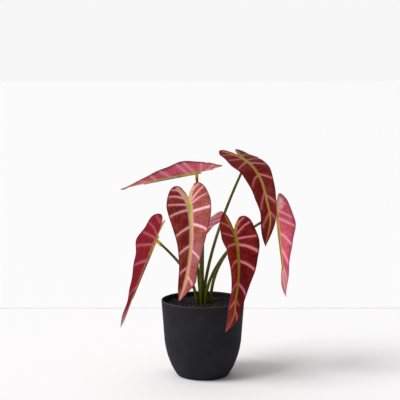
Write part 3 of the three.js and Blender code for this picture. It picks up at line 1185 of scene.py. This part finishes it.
@dataclass(frozen=True)
class VeinPattern:
    """The printed pattern of a blade, as gaps in millimetres from each of its bands."""

    right: Half
    left: Half
    # Where a painted highlight lies, as out, along and reach
    painted_highlight: Place | None = None
    rib_share: float = 1.0
    green_spot: float | None = None
    # Places along the midrib, and half the width of its pink edges and of its core at each
    rib_stations: tuple[float, ...] = (-4.0, 0.0, 25.0, 70.0, 125.0, 152.0)
    rib_half_widths: tuple[float, ...] = (3.6, 4.4, 3.2, 2.6, 1.8, 0.6)
    core_half_widths: tuple[float, ...] = (1.8, 2.4, 1.7, 1.4, 0.8, -1.5)
    hub_centre: float = 2.0
    hub_reach: float = 4.0
    hub_length: float = 9.0
    spot_reach: float = 2.6
    spot_length: float = 3.4
    # How far from the edge the side veins end, and from the tip the pale tip and the worn point start
    plain_edge: float = 1.6
    tip_length: float = 10.0
    point_length: float = 1.3
    # How far from the midrib each half has its own full colour, and a painted highlight too far off to show
    side_blend: float = 3.0
    no_painted_highlight: Place = (0.0, -400.0, 1.0)
    edge_steps: int = 120

    def gaps(self, out: Array, along: Array) -> dict[str, Array]:
        """Measures every band's gap at places on the blade.

        Args:
            out: How far each place lies from the midrib, positive to the left.
            along: How far along the blade it lies.

        Returns:
            The gaps by the names that the cloth's material reads, and the side of the midrib.
        """
        points = np.stack([np.abs(out), along], axis=1)
        on_right = out < 0
        halves = (self.right, self.left)
        back = np.where(on_right, *(half.back.gap(points) for half in halves))
        side = np.where(on_right, *(self._nearest(half.side, points) for half in halves))
        flank = np.where(on_right, *(half.flank for half in halves))
        behind = np.maximum(self.rib_stations[0] - along, 0.0)
        away = np.hypot(points[:, 0], behind)
        rib = away - self.rib_share * np.interp(along, self.rib_stations, self.rib_half_widths)
        core = away - np.interp(along, self.rib_stations, self.core_half_widths)
        turns = np.linspace(0.0, 1.0, self.edge_steps + 1)
        edge = gap_to_line(points, margin_at(turns)[:, :2], np.zeros(len(turns)))
        hub = np.hypot(points[:, 0] / self.hub_reach, (along - self.hub_centre) / self.hub_length)
        if self.green_spot is not None:
            spot = np.hypot(points[:, 0] / self.spot_reach, (along - self.green_spot) / self.spot_length)
            hub = np.minimum(hub, spot)
        highlight_out, highlight_along, highlight_reach = self.painted_highlight or self.no_painted_highlight
        return {
            "vein_gap": np.maximum(side, self.plain_edge - edge), "rib_gap": np.minimum(rib, back),
            "core_gap": np.minimum(core, back + flank), "hub_gap": (hub - 1.0) * self.hub_reach,
            "edge_gap": edge, "tip_gap": BLADE_LENGTH - self.tip_length - along,
            "point_gap": BLADE_LENGTH - self.point_length - along,
            "painted_highlight_gap": np.hypot(out - highlight_out, along - highlight_along) - highlight_reach,
            "side": np.clip(out / self.side_blend, -1.0, 1.0),
        }

    @staticmethod
    def _nearest(veins: tuple[Vein, ...], points: Array) -> Array:
        """Gives the smallest gap to any of several veins."""
        return np.min([vein.gap(points) for vein in veins], axis=0)


@dataclass(frozen=True)
class Bulge:
    """A place where half a blade swells or narrows: 1 for the left half or -1, where, how far, how much."""

    side: int
    along: float
    reach: float
    share: float


@dataclass(frozen=True)
class LeafPlan:
    """Where one leaf stands and how it is bent, in millimetres and degrees.

    hub, bow and tip are places on the midrib. looks gives the bearing and the height angle that the
    upper face looks towards at the hub and at the tip, and fold how far each half rises at the lobes,
    the hub, halfway and the tip. foot, rise, neck and reach lead the stem. sweep is where the midrib
    starts to leave its even curve and how far it swings to the left before it comes back at the tip.
    droop bends the lobes down, width scales both halves, wave and phase are the height and the start of
    the waves along the edges, and twist turns the tip. lobes stretches the right and the left lobe,
    bulges are the places where a half swells or narrows, halves are the veins of the right and the left
    half, and painted_highlight is the place and the reach of a painted highlight, a pale patch where the
    light glints. rib_share scales the midrib's printed width, and green_spot is a place on it that is
    printed green.
    """

    name: str
    hub: Place
    bow: Place
    tip: Place
    looks: tuple[tuple[float, float], tuple[float, float]]
    fold: tuple[float, float, float, float]
    foot: tuple[float, float]
    rise: float
    neck: Place
    reach: float
    droop: float = 0.0
    width: float = 1.0
    wave: float = 2.0
    phase: float = 0.0
    twist: float = 0.0
    sweep: tuple[float, float] = (90.0, 0.0)
    lobes: tuple[float, float] = (1.0, 1.0)
    bulges: tuple[Bulge, ...] = ()
    halves: tuple[Half, Half] = (FINE_HALF, BOLD_HALF)
    painted_highlight: Place | None = None
    rib_share: float = 1.0
    green_spot: float | None = None


@dataclass
class BladeForm:
    """The shape of one blade: bent along its midrib and folded up on both sides of it."""

    plan: LeafPlan
    size: float = field(init=False)

    def __post_init__(self) -> None:
        """Works out the midrib's curve, and how much larger or smaller than its pattern the blade is."""
        hub, bow, tip = (np.array(place) for place in (self.plan.hub, self.plan.bow, self.plan.tip))
        self._pulls = (hub, 2 * bow - 0.5 * (hub + tip), tip)
        self._turns = np.linspace(0.0, 1.0, CURVE_STEPS + 1)
        self._lengths = run_along(pulled_curve(self._pulls, self._turns))
        self.size = self._lengths[-1] / BLADE_LENGTH

    def frames(self, along: Array) -> tuple[Array, Array, Array, Array]:
        """Gives the place on the midrib and the directions there.

        Args:
            along: Distances from the hub in the blade's own millimetres, negative towards the lobes.

        Returns:
            Places, and the unit vectors forward, up from the face and to the left.
        """
        hub, pull, tip = self._pulls
        share = np.clip(along / BLADE_LENGTH, 0.0, 1.0)
        turns = np.interp(share * self._lengths[-1], self._lengths, self._turns)
        forward = unit(mix(pull - hub, tip - pull, turns[:, None]))
        look = mix(direction_of(*self.plan.looks[0]), direction_of(*self.plan.looks[1]), share[:, None])
        up = unit(look - np.sum(look * forward, axis=1, keepdims=True) * forward)
        bend = (math.radians(self.plan.droop) * np.maximum(-along / LOBE_LENGTH, 0.0))[:, None]
        chord = forward * np.cos(bend / 2) + up * np.sin(bend / 2)
        place = pulled_curve(self._pulls, turns) + chord * (np.minimum(along, 0.0) * self.size)[:, None]
        ahead = forward * np.cos(bend) + up * np.sin(bend)
        above = up * np.cos(bend) - forward * np.sin(bend)
        left = np.cross(above, ahead)
        start, sideways = self.plan.sweep
        hump = np.sin(math.pi * np.clip((along - start) / (BLADE_LENGTH - start), 0.0, 1.0)) ** 2
        place = place + left * (sideways * hump)[:, None]
        roll = (math.radians(self.plan.twist) * smooth_step(along, TWIST_START, BLADE_LENGTH))[:, None]
        turned_up = above * np.cos(roll) - left * np.sin(roll)
        return place, ahead, turned_up, left * np.cos(roll) + above * np.sin(roll)

    def fold_at(self, along: Array) -> Array:
        """Gives how far each half rises from flat.

        Args:
            along: Distances along the blade.

        Returns:
            The angle at each of them, in radians.
        """
        lobes, hub, halfway, tip = self.plan.fold
        share = along / BLADE_LENGTH
        bulge = halfway - (hub + tip) / 2
        ahead = mix(hub, tip, share) + 4 * bulge * share * (1 - share)
        behind = mix(hub, lobes, np.clip(-along / LOBE_LENGTH, 0.0, 1.0))
        return np.radians(np.where(along < 0, behind, ahead))

    def surface(self, out: Array, along: Array) -> Array:
        """Gives places on the blade's middle surface.

        Args:
            out: Distances from the midrib, positive to the left.
            along: Distances along the blade.

        Returns:
            The places, shape (n, 3).
        """
        right = out < 0
        behind = np.clip(-along / LOBE_LENGTH, 0.0, 1.0)
        along = np.where(along < 0, along * mix(1.0, np.where(right, *self.plan.lobes), behind), along)
        place, _, up, left = self.frames(along)
        fold = self.fold_at(along)
        reach = np.abs(out) * self.size * self.plan.width
        for bulge in self.plan.bulges:
            near = np.exp(-((along - bulge.along) / bulge.reach) ** 2)
            reach = reach * (1.0 + bulge.share * near * (np.sign(out) == bulge.side))
        share = reach / (HALF_WIDTH * self.size)
        turn = 2 * math.pi * RIPPLES * along / BLADE_LENGTH + self.plan.phase
        wave = self.plan.wave * share ** 2 * np.sin(turn + np.where(right, RIPPLE_SHIFT, 0.0))
        lift = np.sqrt(reach ** 2 + CREASE_ROUNDING ** 2) - CREASE_ROUNDING
        return (
            place + left * (np.sign(out) * reach * np.cos(fold))[:, None]
            + up * (lift * np.sin(fold) + wave)[:, None]
        )

    def normals(self, out: Array, along: Array, step: float = 0.3) -> Array:
        """Gives the directions square to the upper face.

        Args:
            out: Distances from the midrib, positive to the left.
            along: Distances along the blade.
            step: How far apart the places are that the slope is measured between.

        Returns:
            Unit vectors, shape (n, 3).
        """
        ahead = self.surface(out, np.minimum(along + step, BLADE_LENGTH)) - self.surface(out, along - step)
        across = self.surface(out + step, along) - self.surface(out - step, along)
        return unit(np.cross(ahead, across))

    def below(self, along: Array, radius: Array) -> Array:
        """Gives places below the midrib, clear of the cloth, for a bar of the given radius."""
        place, _, up, _ = self.frames(along)
        return place - up * (CLOTH_GAP + radius)[:, None]


@dataclass
class Blade:
    """The pressed cloth: two faces on one fine net, quilted between the veins, with a thin closed rim."""

    form: BladeForm
    upper: PrintedPolyester
    under: PrintedPolyester
    thickness: float = 0.6
    rim_thickness: float = 0.4
    quilt: float = 1.5
    quilt_reach: float = 3.4
    wrinkle: float = 0.2
    wrinkle_length: float = 6.5
    # How far the wrinkles bend, how slowly those bends turn, and how slanted the wrinkles lie
    wrinkle_bends: tuple[float, float] = (1.7, 1.3)
    wrinkle_turns: tuple[float, float] = (0.37, 0.23)
    wrinkle_slant: float = 0.6
    ridge: float = 0.18
    # How wide the flat border and the thinner rim are, and the gaps between which a vein's ridge rises
    flat_border: float = 6.0
    thin_rim: float = 1.5
    ridge_slope: tuple[float, float] = (-1.0, 0.8)
    steps: int = 16
    columns: int = 32

    def net(self) -> tuple[Array, Array]:
        """Lays out the net: the notch, then rows from left to right, then the tip.

        Returns:
            How far out and how far along each of its places lies.
        """
        rows = (len(MARGIN) - 1) * self.steps
        edge = margin_at(np.arange(1, rows) / rows)
        column = np.arange(-self.columns, self.columns + 1)
        share = np.abs(column) / self.columns
        out = -np.sign(column) * share * edge[:, :1]
        along = mix(edge[:, 2:], edge[:, 1:2], share)
        return (
            np.concatenate([[0.0], out.ravel(), [0.0]]),
            np.concatenate([[MARGIN[0][1]], along.ravel(), [BLADE_LENGTH]]),
        )

    def net_faces(self) -> tuple[Faces, list[int]]:
        """Joins the net's places.

        Returns:
            Its faces, seen from above, and the places round its rim.
        """
        rows = (len(MARGIN) - 1) * self.steps - 1
        across = 2 * self.columns + 1
        last = rows * across + 1
        faces: Faces = []
        for column in range(across - 1):
            faces.append((0, 2 + column, 1 + column))
            for row in range(rows - 1):
                a = 1 + row * across + column
                faces.append((a, a + 1, a + 1 + across, a + across))
            end = 1 + (rows - 1) * across + column
            faces.append((last, end, end + 1))
        right = [1 + row * across + across - 1 for row in range(rows)]
        left = [1 + row * across for row in reversed(range(rows))]
        return faces, [0, *right, last, *left]

    def wrinkles(self, out: Array, along: Array) -> Array:
        """Gives the small waves that pressing leaves in the cloth, bent so that they never line up.

        Args:
            out: Distances from the midrib, positive to the left.
            along: Distances along the blade.

        Returns:
            The height of the waves at each place, from -1 to 1.
        """
        turn = 2.0 * math.pi / self.wrinkle_length
        (bend_out, bend_along), (slow_out, slow_along) = self.wrinkle_bends, self.wrinkle_turns
        drift = bend_out * np.sin(out * turn * slow_out) + bend_along * np.sin(along * turn * slow_along)
        drift = self.form.plan.phase + drift
        slant = self.wrinkle_slant
        return np.sin((along + slant * np.abs(out)) * turn + drift) * np.cos(out * turn * slant + drift)

    def build(self) -> bpy.types.Object:
        """Builds the blade in place of the CAD blade.

        Returns:
            The finished piece.
        """
        plan = self.form.plan
        out, along = self.net()
        gaps = VeinPattern(*plan.halves, plan.painted_highlight, plan.rib_share, plan.green_spot).gaps(out, along)
        faces, rim = self.net_faces()
        gap = np.minimum(gaps["vein_gap"], gaps["rib_gap"])
        between = np.maximum(gap, 0.0)
        inside = smooth_step(gaps["edge_gap"], 0.0, self.flat_border)
        puff = self.quilt * between / (between + self.quilt_reach) * inside
        puff += self.wrinkle * self.wrinkles(out, along) * inside
        normal = self.form.normals(out, along)
        middle = self.form.surface(out, along) + normal * puff[:, None]
        full = smooth_step(gaps["edge_gap"], 0.0, self.thin_rim)
        thick = mix(self.rim_thickness, self.thickness, full) / 2
        veined = self.ridge * (1.0 - smooth_step(gap, *self.ridge_slope)) * inside
        top = middle + normal * (thick - veined / 2)[:, None]
        bottom = middle - normal * (thick + veined)[:, None]
        count = len(out)
        under = [tuple(i + count for i in reversed(face)) for face in faces]
        band = [(b, a, a + count, b + count) for a, b in zip(rim, rim[1:] + rim[:1])]
        slots = np.concatenate([np.zeros(len(faces)), np.ones(len(under) + len(band))])
        values = {name: np.concatenate([numbers, numbers]) for name, numbers in gaps.items()}
        shell = Shell(np.concatenate([top, bottom]), faces + under + band, values, slots)
        finishes = [self.upper.material(plan.name), self.under.material(plan.name)]
        return piece_from(f"leaf_blade_{plan.name}", shell, finishes)


@dataclass
class Rib:
    """The moulding under a blade: a tapered bar, two barbs, and a knob that runs into a socket."""

    form: BladeForm
    radii: tuple[float, float] = (1.3, 0.6)
    span: tuple[float, float] = (-4.0, 103.36)
    # The bar's radius at its rounded ends, as shares of the full one
    end_shares: tuple[float, ...] = (0.25, 0.7, 0.93)
    knob_place: float = 4.0
    knob_radius: float = 2.6
    socket_length: float = 9.0
    bore_radius: float = 2.0
    bore_depth: float = 6.0
    bore_end: float = 0.3
    # The knob's dome in degrees from the socket's axis, and how far in from both ends the wall starts
    dome_span: tuple[float, float] = (176.0, 90.0)
    wall_inset: float = 1.0
    # The mouth's rounded edges: how far past its end, and out from the outer wall or the bore
    outer_edge: Line = ((-0.45, -0.03), (-0.15, -0.14))
    inner_edge: Line = ((0.0, 0.22), (-0.1, 0.04))
    # How strong the mouth's colour is, and between which distances from the knob it comes in
    tint_share: float = 0.85
    tint_span: tuple[float, float] = (2.0, 9.0)
    barb_root: float = 31.0
    barb_reach: float = 6.0
    barb_slant: float = 5.0
    barb_radius: float = 0.7
    # How fast the barb's end rounds off, and the share of its length at which that would close
    barb_rounding: tuple[float, float] = (3.0, 1.02)
    barb_steps: int = 8
    barb_sides: int = 10
    bar_sides: int = 16
    bar_steps: int = 60
    socket_steps: int = 8
    socket_sides: int = 28

    def start(self) -> Array:
        """Gives the knob's centre."""
        return self.form.below(np.array([self.knob_place]), np.array([self.knob_radius]))[0]

    def neck(self) -> Array:
        """Gives the socket's direction, away from the blade."""
        return unit(np.array(self.form.plan.neck))

    def bar(self) -> Shell:
        """Makes the tapered bar with rounded ends.

        Returns:
            The bar, closed at both ends.
        """
        share = np.linspace(0.0, 1.0, self.bar_steps + 1)
        radius = mix(*self.radii, share)
        path = self.form.below(mix(*self.span, share), radius)
        fade = np.array(self.end_shares)
        first = path[0] - unit(path[1] - path[0]) * radius[0] * (1.0 - fade)[:, None]
        last = path[-1] + unit(path[-1] - path[-2]) * radius[-1] * (1.0 - fade[::-1])[:, None]
        places = np.vstack([first, path[1:-1], last])
        sizes = np.concatenate([radius[0] * fade, radius[1:-1], radius[-1] * fade[::-1]])
        return tube_shell(places, sizes, self.bar_sides)

    def barb(self, side: int) -> Shell:
        """Makes one barb.

        Args:
            side: 1 for the left half of the blade, -1 for the right.

        Returns:
            The barb, closed at both ends.
        """
        root = self.form.below(np.array([self.barb_root]), np.array([self.radii[0]]))[0]
        spot = np.array([self.barb_root + self.barb_slant])
        out = np.array([side * self.barb_reach])
        away = self.form.normals(out, spot)[0]
        end = self.form.surface(out, spot)[0] - away * (CLOTH_GAP + self.barb_radius)
        share = np.linspace(0.0, 1.0, self.barb_steps + 1)
        speed, close = self.barb_rounding
        rounded = np.minimum(1.0, speed * (close - share)) ** 0.5
        radii = mix(self.barb_radius, self.barb_radius / 2, share) * rounded
        return tube_shell(root + (end - root) * share[:, None], radii, self.barb_sides)

    def socket(self) -> Shell:
        """Makes the knob and the socket that grows out of it, with the bore that takes the stem.

        Returns:
            The turned form, from the knob's dome round the mouth to the bore's end.
        """
        length, radius, bore = self.socket_length, self.knob_radius, self.bore_radius
        turns = np.radians(np.linspace(*self.dome_span, self.socket_steps + 1))
        dome = [(radius * math.cos(turn), radius * math.sin(turn)) for turn in turns]
        inset = self.wall_inset
        sleeve = [(distance, radius) for distance in np.linspace(inset, length - inset, self.socket_steps)]
        mouth = [(length + past, radius + out) for past, out in self.outer_edge]
        mouth += [(length + past, bore + out) for past, out in self.inner_edge]
        hole = [(length - self.bore_depth, bore), (length - self.bore_depth, self.bore_end)]
        return turned_shell(self.start(), self.neck(), [*dome, *sleeve, *mouth, *hole], self.socket_sides)

    def build(self, finish: MouldedPolyethylene) -> bpy.types.Object:
        """Builds the moulding in place of the CAD rib.

        Args:
            finish: What it is moulded in.

        Returns:
            The finished piece.
        """
        shell = joined([self.bar(), self.barb(1), self.barb(-1), self.socket()])
        out_of_blade = (shell.points - self.start()) @ self.neck()
        shell.values["mouth"] = self.tint_share * smooth_step(out_of_blade, *self.tint_span)
        return piece_from(f"leaf_rib_{self.form.plan.name}", shell, [finish.material()])


@dataclass
class Stem:
    """A stem: straight up out of the compost, then one smooth bend over to the socket."""

    form: BladeForm
    rib: Rib
    bottom: float = 78.0
    leaves_soil: float = 113.0
    radii: tuple[float, float] = (2.6, 1.9)
    plug_radius: float = 1.6
    plug_rounding: float = 0.08
    gap: float = 0.3
    # Where in the gap before the socket the stem narrows to its plug
    narrows_at: float = 0.6
    # How strong the darker, browner colour at the foot is, and the heights between which it fades out, up to
    # just above the pot's rim
    foot_share: float = 0.7
    foot_span: tuple[float, float] = (108.0, 122.0)
    sides: int = 28
    steps: int = 90
    buried_steps: int = 5
    plug_steps: int = 3
    flutes: int = 9
    flute_depth: float = 0.035

    def path(self) -> tuple[Array, Array]:
        """Leads the stem from the compost to the inside of the socket.

        Returns:
            The places along it, and the radius at each.
        """
        plan = self.form.plan
        start, neck, length = self.rib.start(), self.rib.neck(), self.rib.socket_length
        foot = np.array([*plan.foot, self.leaves_soil])
        pulls = (foot, foot + UP * plan.rise,
                 start + neck * (length + plan.reach), start + neck * (length + self.gap))
        dense = pulled_curve(pulls, np.linspace(0.0, 1.0, 4 * self.steps + 1))
        run = run_along(dense)
        even = np.linspace(0.0, run[-1], self.steps + 1)
        bend = np.stack([np.interp(even, run, dense[:, k]) for k in range(3)], axis=1)
        ground = np.linspace([*plan.foot, self.bottom], foot, self.buried_steps + 1)[:-1]
        shoulder = start + neck * (length + self.gap * self.narrows_at)
        end = start + neck * (length - self.rib.bore_depth + self.gap)
        plug = np.linspace(start + neck * length, end, self.plug_steps + 1)
        shares = np.linspace(0.0, 1.0, self.steps + 1)
        radii = np.concatenate([
            np.full(len(ground), self.radii[0]), mix(*self.radii, shares),
            [self.plug_radius + self.plug_rounding], np.full(len(plug), self.plug_radius),
        ])
        return np.vstack([ground, bend, shoulder, plug]), radii

    def build(self, finish: bpy.types.Material) -> bpy.types.Object:
        """Builds the stem in place of the CAD stem.

        Args:
            finish: The stems' material.

        Returns:
            The finished piece.
        """
        places, radii = self.path()
        shell = tube_shell(places, radii, self.sides, self.flutes, self.flute_depth)
        shell.values["foot"] = self.foot_share * (1.0 - smooth_step(shell.points[:, 2], *self.foot_span))
        return piece_from(f"leaf_stem_{self.form.plan.name}", shell, [finish])


@dataclass(frozen=True)
class LeafDress:
    """The colours of one leaf: its cloth above and below, and its moulding."""

    upper: PrintedPolyester = PrintedPolyester()
    under: PrintedPolyester = PrintedPolyester(
        face=Face.UNDER, right_base="d0586e", left_base="d0586e", blotch="d86c60", speck="a83c58",
        bleed="e48a98", vein="f09cac", vein_light="fcc0ca", rib_edge="d8a078", rib_core="c0a850",
        hub="b8a048", margin="a83c58", tip="d87088", bleed_share=0.4, speck_share=0.5,
    )
    rib: MouldedPolyethylene = MouldedPolyethylene()


# A brighter copy of the moulding: painted light on ribs that lie in shade
GREEN_MOULDING_PAINTED_LIGHT = MouldedPolyethylene("moulded_polyethylene_green_painted_light", "ece83c", "c4bc30", "8a8a28")

LEAVES = (
    (LeafPlan(
        "left_high", (-7, 25, 317), (-73, -14, 307), (-124, -60, 299), ((127, 76), (127, 60)),
        (5, 13, 43, -18), (-2.8, -4.5), 120, (0.05, -0.45, -0.9), 30, wave=1.5, phase=2.1,
        bulges=(Bulge(-1, 15, 8, -0.22), Bulge(-1, 33, 11, 0.2), Bulge(-1, -27, 12, -0.1),
                Bulge(-1, 116, 16, 0.25)),
        halves=(STEEP_HALF, STEEP_HALF),
    ), LeafDress(
        under=PrintedPolyester(
            face=Face.UNDER, right_base="ea6a84", left_base="ea6a84", blotch="dc6460", speck="a03050",
            bleed="f490a4", vein="f490a4", vein_light="fcacba", rib_edge="f0c088", rib_core="e0c858",
            hub="c8b048", margin="4c0a1e", tip="c05068", bleed_share=0.4, speck_share=0.7,
            margin_reach=9, vein_share=0.75,
        ),
        rib=GREEN_MOULDING_PAINTED_LIGHT,
    )),
    (LeafPlan(
        "right_high", (65, 4, 338), (94, -29, 292), (94, -54, 211), ((-50, 76), (-113, 0)),
        (-8, -5, 20, 42), (1, 1.8), 35, (-0.42, 0.03, -0.91), 112, width=0.93, wave=1.8, phase=1.6,
        sweep=(72, 4.8), lobes=(1.1, 1),
        bulges=(Bulge(1, -21, 16, 0.35), Bulge(1, 48, 28, -0.24), Bulge(1, 112, 24, -0.08),
                Bulge(-1, 55, 30, -0.06), Bulge(-1, 124, 22, 0.4)),
        halves=(TURNED_RIGHT_HALF, TURNED_LEFT_HALF), green_spot=38,
    ), LeafDress(upper=PrintedPolyester(
        right_base="721618", left_base="5e0e10", blotch="7c2018", speck="440c10", bleed="8c3a3a",
        vein="ac5656", vein_light="bc746c", rib_edge="ac6c48", rib_core="a4842c", hub="8c9428",
        margin="400a10", tip="6a1a20", bleed_share=0.3, specular=0.07, coat=0,
    ))),
    (LeafPlan(
        "right", (116, 14, 254), (123, 6, 189), (130, -4, 124), ((16, 0), (24, 0)),
        (8, 38, 34, -30), (12, 2.5), 75, (-0.9, 0, -0.42), 40, width=0.96, wave=1.4, phase=-2.6,
        bulges=(Bulge(-1, 4, 14, -0.08), Bulge(-1, 33, 14, 0.14), Bulge(-1, 70, 18, 0.08),
                Bulge(-1, 122, 18, 0.35), Bulge(1, 112, 22, 0.5)),
        # The pale patch on the right lobe is a painted highlight
        halves=(HANGING_HALF, HANGING_HALF), painted_highlight=(-9, -19, 12),
    ), LeafDress(under=PrintedPolyester(
        face=Face.UNDER, right_base="e8687e", left_base="e8687e", blotch="c85250", speck="b03c68",
        bleed="f490a0", vein="f89cb0", vein_light="ffb8c6", rib_edge="e8b080", rib_core="c8b450",
        hub="b8a048", margin="a8346c", tip="ffc8cc", painted_highlight="fff0ee", bleed_share=0.45, speck_share=0.5,
        # The wide mauve margin is the printed edge, widened with painted shade along the blade's edge
        margin_reach=10, tip_reach=42,
    ), rib=GREEN_MOULDING_PAINTED_LIGHT)),
    (LeafPlan(
        "front_left", (-20, -45, 271), (-19, -60, 201), (-36, -70, 131), ((-92, 0), (-99, 0)),
        (20, 20, 20, 20), (-4.5, 3.5), 70, (-0.1, 0.8, -0.6), 45, lobes=(1, 1.03),
        # The pale patch on the left half is a painted highlight
        bulges=(Bulge(1, 119, 15, 0.5), Bulge(1, 50, 40, -0.06)), painted_highlight=(17, 74, 17), rib_share=1.3,
    ), LeafDress(upper=PrintedPolyester(
        # The paler, dusky pink left half is painted sheen, the light glinting off the satin
        right_base="74110b", left_base="a85c54", blotch="964026", speck="681814", bleed="bc6060",
        vein="e88e98", vein_light="ffd8da", rib_edge="e4a098", rib_core="d4bc64", hub="a0b448",
        painted_highlight="a06468", speck_share=0.65, bleed_share=0.35,
    ))),
    (LeafPlan(
        "back", (3, 35, 236), (-15, 92, 197), (-26, 134, 149), ((80, 48), (80, 48)),
        (42, 32, 32, 32), (-0.5, 9.5), 50, (-0.05, -0.3, -0.95), 30, halves=(BOLD_HALF, FINE_HALF),
    ), LeafDress()),
    (LeafPlan(
        "front_right", (49, -60, 224), (51.5, -78.3, 156), (34, -85, 87), ((-67, 0), (-52, 0)),
        (27, 27, 24, 20), (4, -5), 40, (-0.5, 0.6, -0.7), 35, width=0.95, sweep=(95, 4.5), lobes=(1.2, 1),
        bulges=(Bulge(-1, 19, 11, -0.2), Bulge(-1, 58, 26, -0.14), Bulge(-1, 123, 18, 0.8),
                Bulge(1, 40, 30, 0.1)),
        halves=(NARROW_HALF, FALLING_HALF), green_spot=37,
    ), LeafDress(upper=PrintedPolyester(
        # The orange right half and the darker left half are one cloth, printed apart as painted light and
        # painted shade
        right_base="a42c18", left_base="620a08", blotch="881c10", speck="480707", bleed="9c3034",
        vein="cc6470", vein_light="e48c92", rib_edge="b86a40", rib_core="b08e28", hub="8e8c1e",
        margin="44070a", tip="b84450", bleed_share=0.25, specular=0.09, coat=0,
    ))),
    (LeafPlan(
        "left", (-72, -5, 217), (-94, -16, 164), (-127, -32, 82), ((168, 0), (166, 0)),
        (27, 35, 22, 8), (-9.5, -4), 25, (0.74, 0, -0.67), 55, droop=14, twist=6, lobes=(0.9, 1),
        bulges=(Bulge(1, -2, 13, -0.12), Bulge(1, 25, 12, 0.08), Bulge(1, 112, 16, -0.3),
                Bulge(-1, -26, 14, -0.35)),
        halves=(BOLD_HALF, RAISED_HALF),
    ), LeafDress(under=PrintedPolyester(
        # The same pink cloth as the other undersides, printed darker crimson: painted shade on an underside
        # that faces away from the light
        face=Face.UNDER, right_base="b82438", left_base="b82438", blotch="a82834", speck="8c1830",
        bleed="cc5064", vein="e86c80", vein_light="f08494", rib_edge="e89c74", rib_core="d4a850",
        hub="c89c48", margin="6a1426", tip="ffd8d4", bleed_share=0.35, speck_share=0.4, tip_reach=24,
    # A brighter copy of the moulding: painted light on a rib that lies in shade
    ), rib=MouldedPolyethylene("moulded_polyethylene_gold_painted_light", "fcdc50", "dcb43c", "6a2414"))),
)


@dataclass
class Studio:
    """A pale table with its back edge behind the plant, a wide pale floor, soft light and the camera."""

    reach: float = 60.0
    table_end: float = 0.49
    table_step: float = 0.0015
    camera_place: Place = (-0.0045, -1.711, 0.471)
    camera_pitch: float = 6.5
    lens: float = 100.0
    sensor: float = 36.0
    light_bearing: float = 201.0
    light_height: float = 48.0
    light_spread: float = 32.0
    light_strength: float = 2.3
    sky: str = "ffffff"
    bright_side: Place = (-0.75, 0.66, 0.0)
    dim_sky: float = 0.1
    bright_sky: float = 1.0
    seen_sky: float = 0.93

    def build_backdrop(self) -> bpy.types.Object:
        """Builds the table top and the floor beyond it as one sheet.

        Returns:
            The board.
        """
        line = [(-self.reach, 0.0), (self.table_end, 0.0), (self.table_end, self.table_step),
                (self.reach, self.table_step)]
        points = np.array([(x, y, z) for y, z in line for x in (-self.reach, self.reach)]) / MM
        faces = [(2 * i, 2 * i + 1, 2 * i + 3, 2 * i + 2) for i in range(len(line) - 1)]
        board = piece_from("studio_board", Shell(points, faces), [PaintedBackdrop().material()])
        board.data.shade_flat()
        return board

    def build_light(self) -> None:
        """Builds the soft light and the pale surroundings."""
        lamp = bpy.data.lights.new("soft_light", "SUN")
        lamp.energy = self.light_strength
        lamp.angle = math.radians(self.light_spread)
        holder = bpy.data.objects.new("soft_light", lamp)
        holder.rotation_euler = (
            math.radians(90.0 - self.light_height), 0.0, math.radians(self.light_bearing + 90.0),
        )
        bpy.context.scene.collection.objects.link(holder)
        world = bpy.data.worlds.new("pale_studio")
        world.use_nodes = True
        tree = world.node_tree
        facing = add_node(tree, "ShaderNodeVectorMath", {
            0: add_node(tree, "ShaderNodeTexCoord").outputs["Generated"], 1: self.bright_side,
        }, operation="DOT_PRODUCT").outputs["Value"]
        glow = add_node(tree, "ShaderNodeMapRange", {
            "Value": facing, "From Min": -1.0, "To Min": self.dim_sky, "To Max": self.bright_sky,
        }).outputs["Result"]
        seen = add_node(tree, "ShaderNodeLightPath").outputs["Is Camera Ray"]
        strength = add_node(tree, "ShaderNodeMapRange", {
            "Value": seen, "To Min": glow, "To Max": self.seen_sky,
        }).outputs["Result"]
        shade = tree.nodes["Background"]
        shade.inputs["Color"].default_value = linear(self.sky)
        tree.links.new(strength, shade.inputs["Strength"])
        bpy.context.scene.world = world

    def build_camera(self) -> None:
        """Builds the camera at the photograph's viewing angle."""
        camera = bpy.data.cameras.new("camera")
        camera.lens = self.lens
        camera.sensor_width = self.sensor
        holder = bpy.data.objects.new("camera", camera)
        holder.location = self.camera_place
        holder.rotation_euler = (math.radians(90.0 - self.camera_pitch), 0.0, 0.0)
        bpy.context.scene.collection.objects.link(holder)
        bpy.context.scene.camera = holder

    def build(self) -> None:
        """Builds the whole studio: the board, the light and the camera, and sets the view transform."""
        self.build_backdrop()
        self.build_light()
        self.build_camera()
        bpy.context.scene.view_settings.view_transform = "Standard"


def place_piece(piece: bpy.types.Object, node: str) -> None:
    """Lets a piece ride on the part in place of its CAD node.

    Args:
        piece: The piece.
        node: The CAD node that it stands for.
    """
    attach(piece, BODY)
    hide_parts(node)
    log.info("%s: %d faces, stands for %s", piece.name, len(piece.data.polygons), node)


def main() -> None:
    """Builds the studio, the pot, the compost and the seven leaves."""
    logging.basicConfig(level=logging.INFO, format="%(message)s")
    Studio().build()
    pot = Pot()
    place_piece(pot.build(), "pot")
    place_piece(Compost(pot).build([plan.foot for plan, _ in LEAVES]), "soil")
    stem_finish = DrawnPolyethylene().material()
    for plan, dress in LEAVES:
        form = BladeForm(plan)
        rib = Rib(form)
        place_piece(Blade(form, dress.upper, dress.under).build(), f"blade_{plan.name}")
        place_piece(rib.build(dress.rib), f"rib_{plan.name}")
        place_piece(Stem(form, rib).build(stem_finish), f"stem_{plan.name}")


if __name__ == "__main__":
    main()
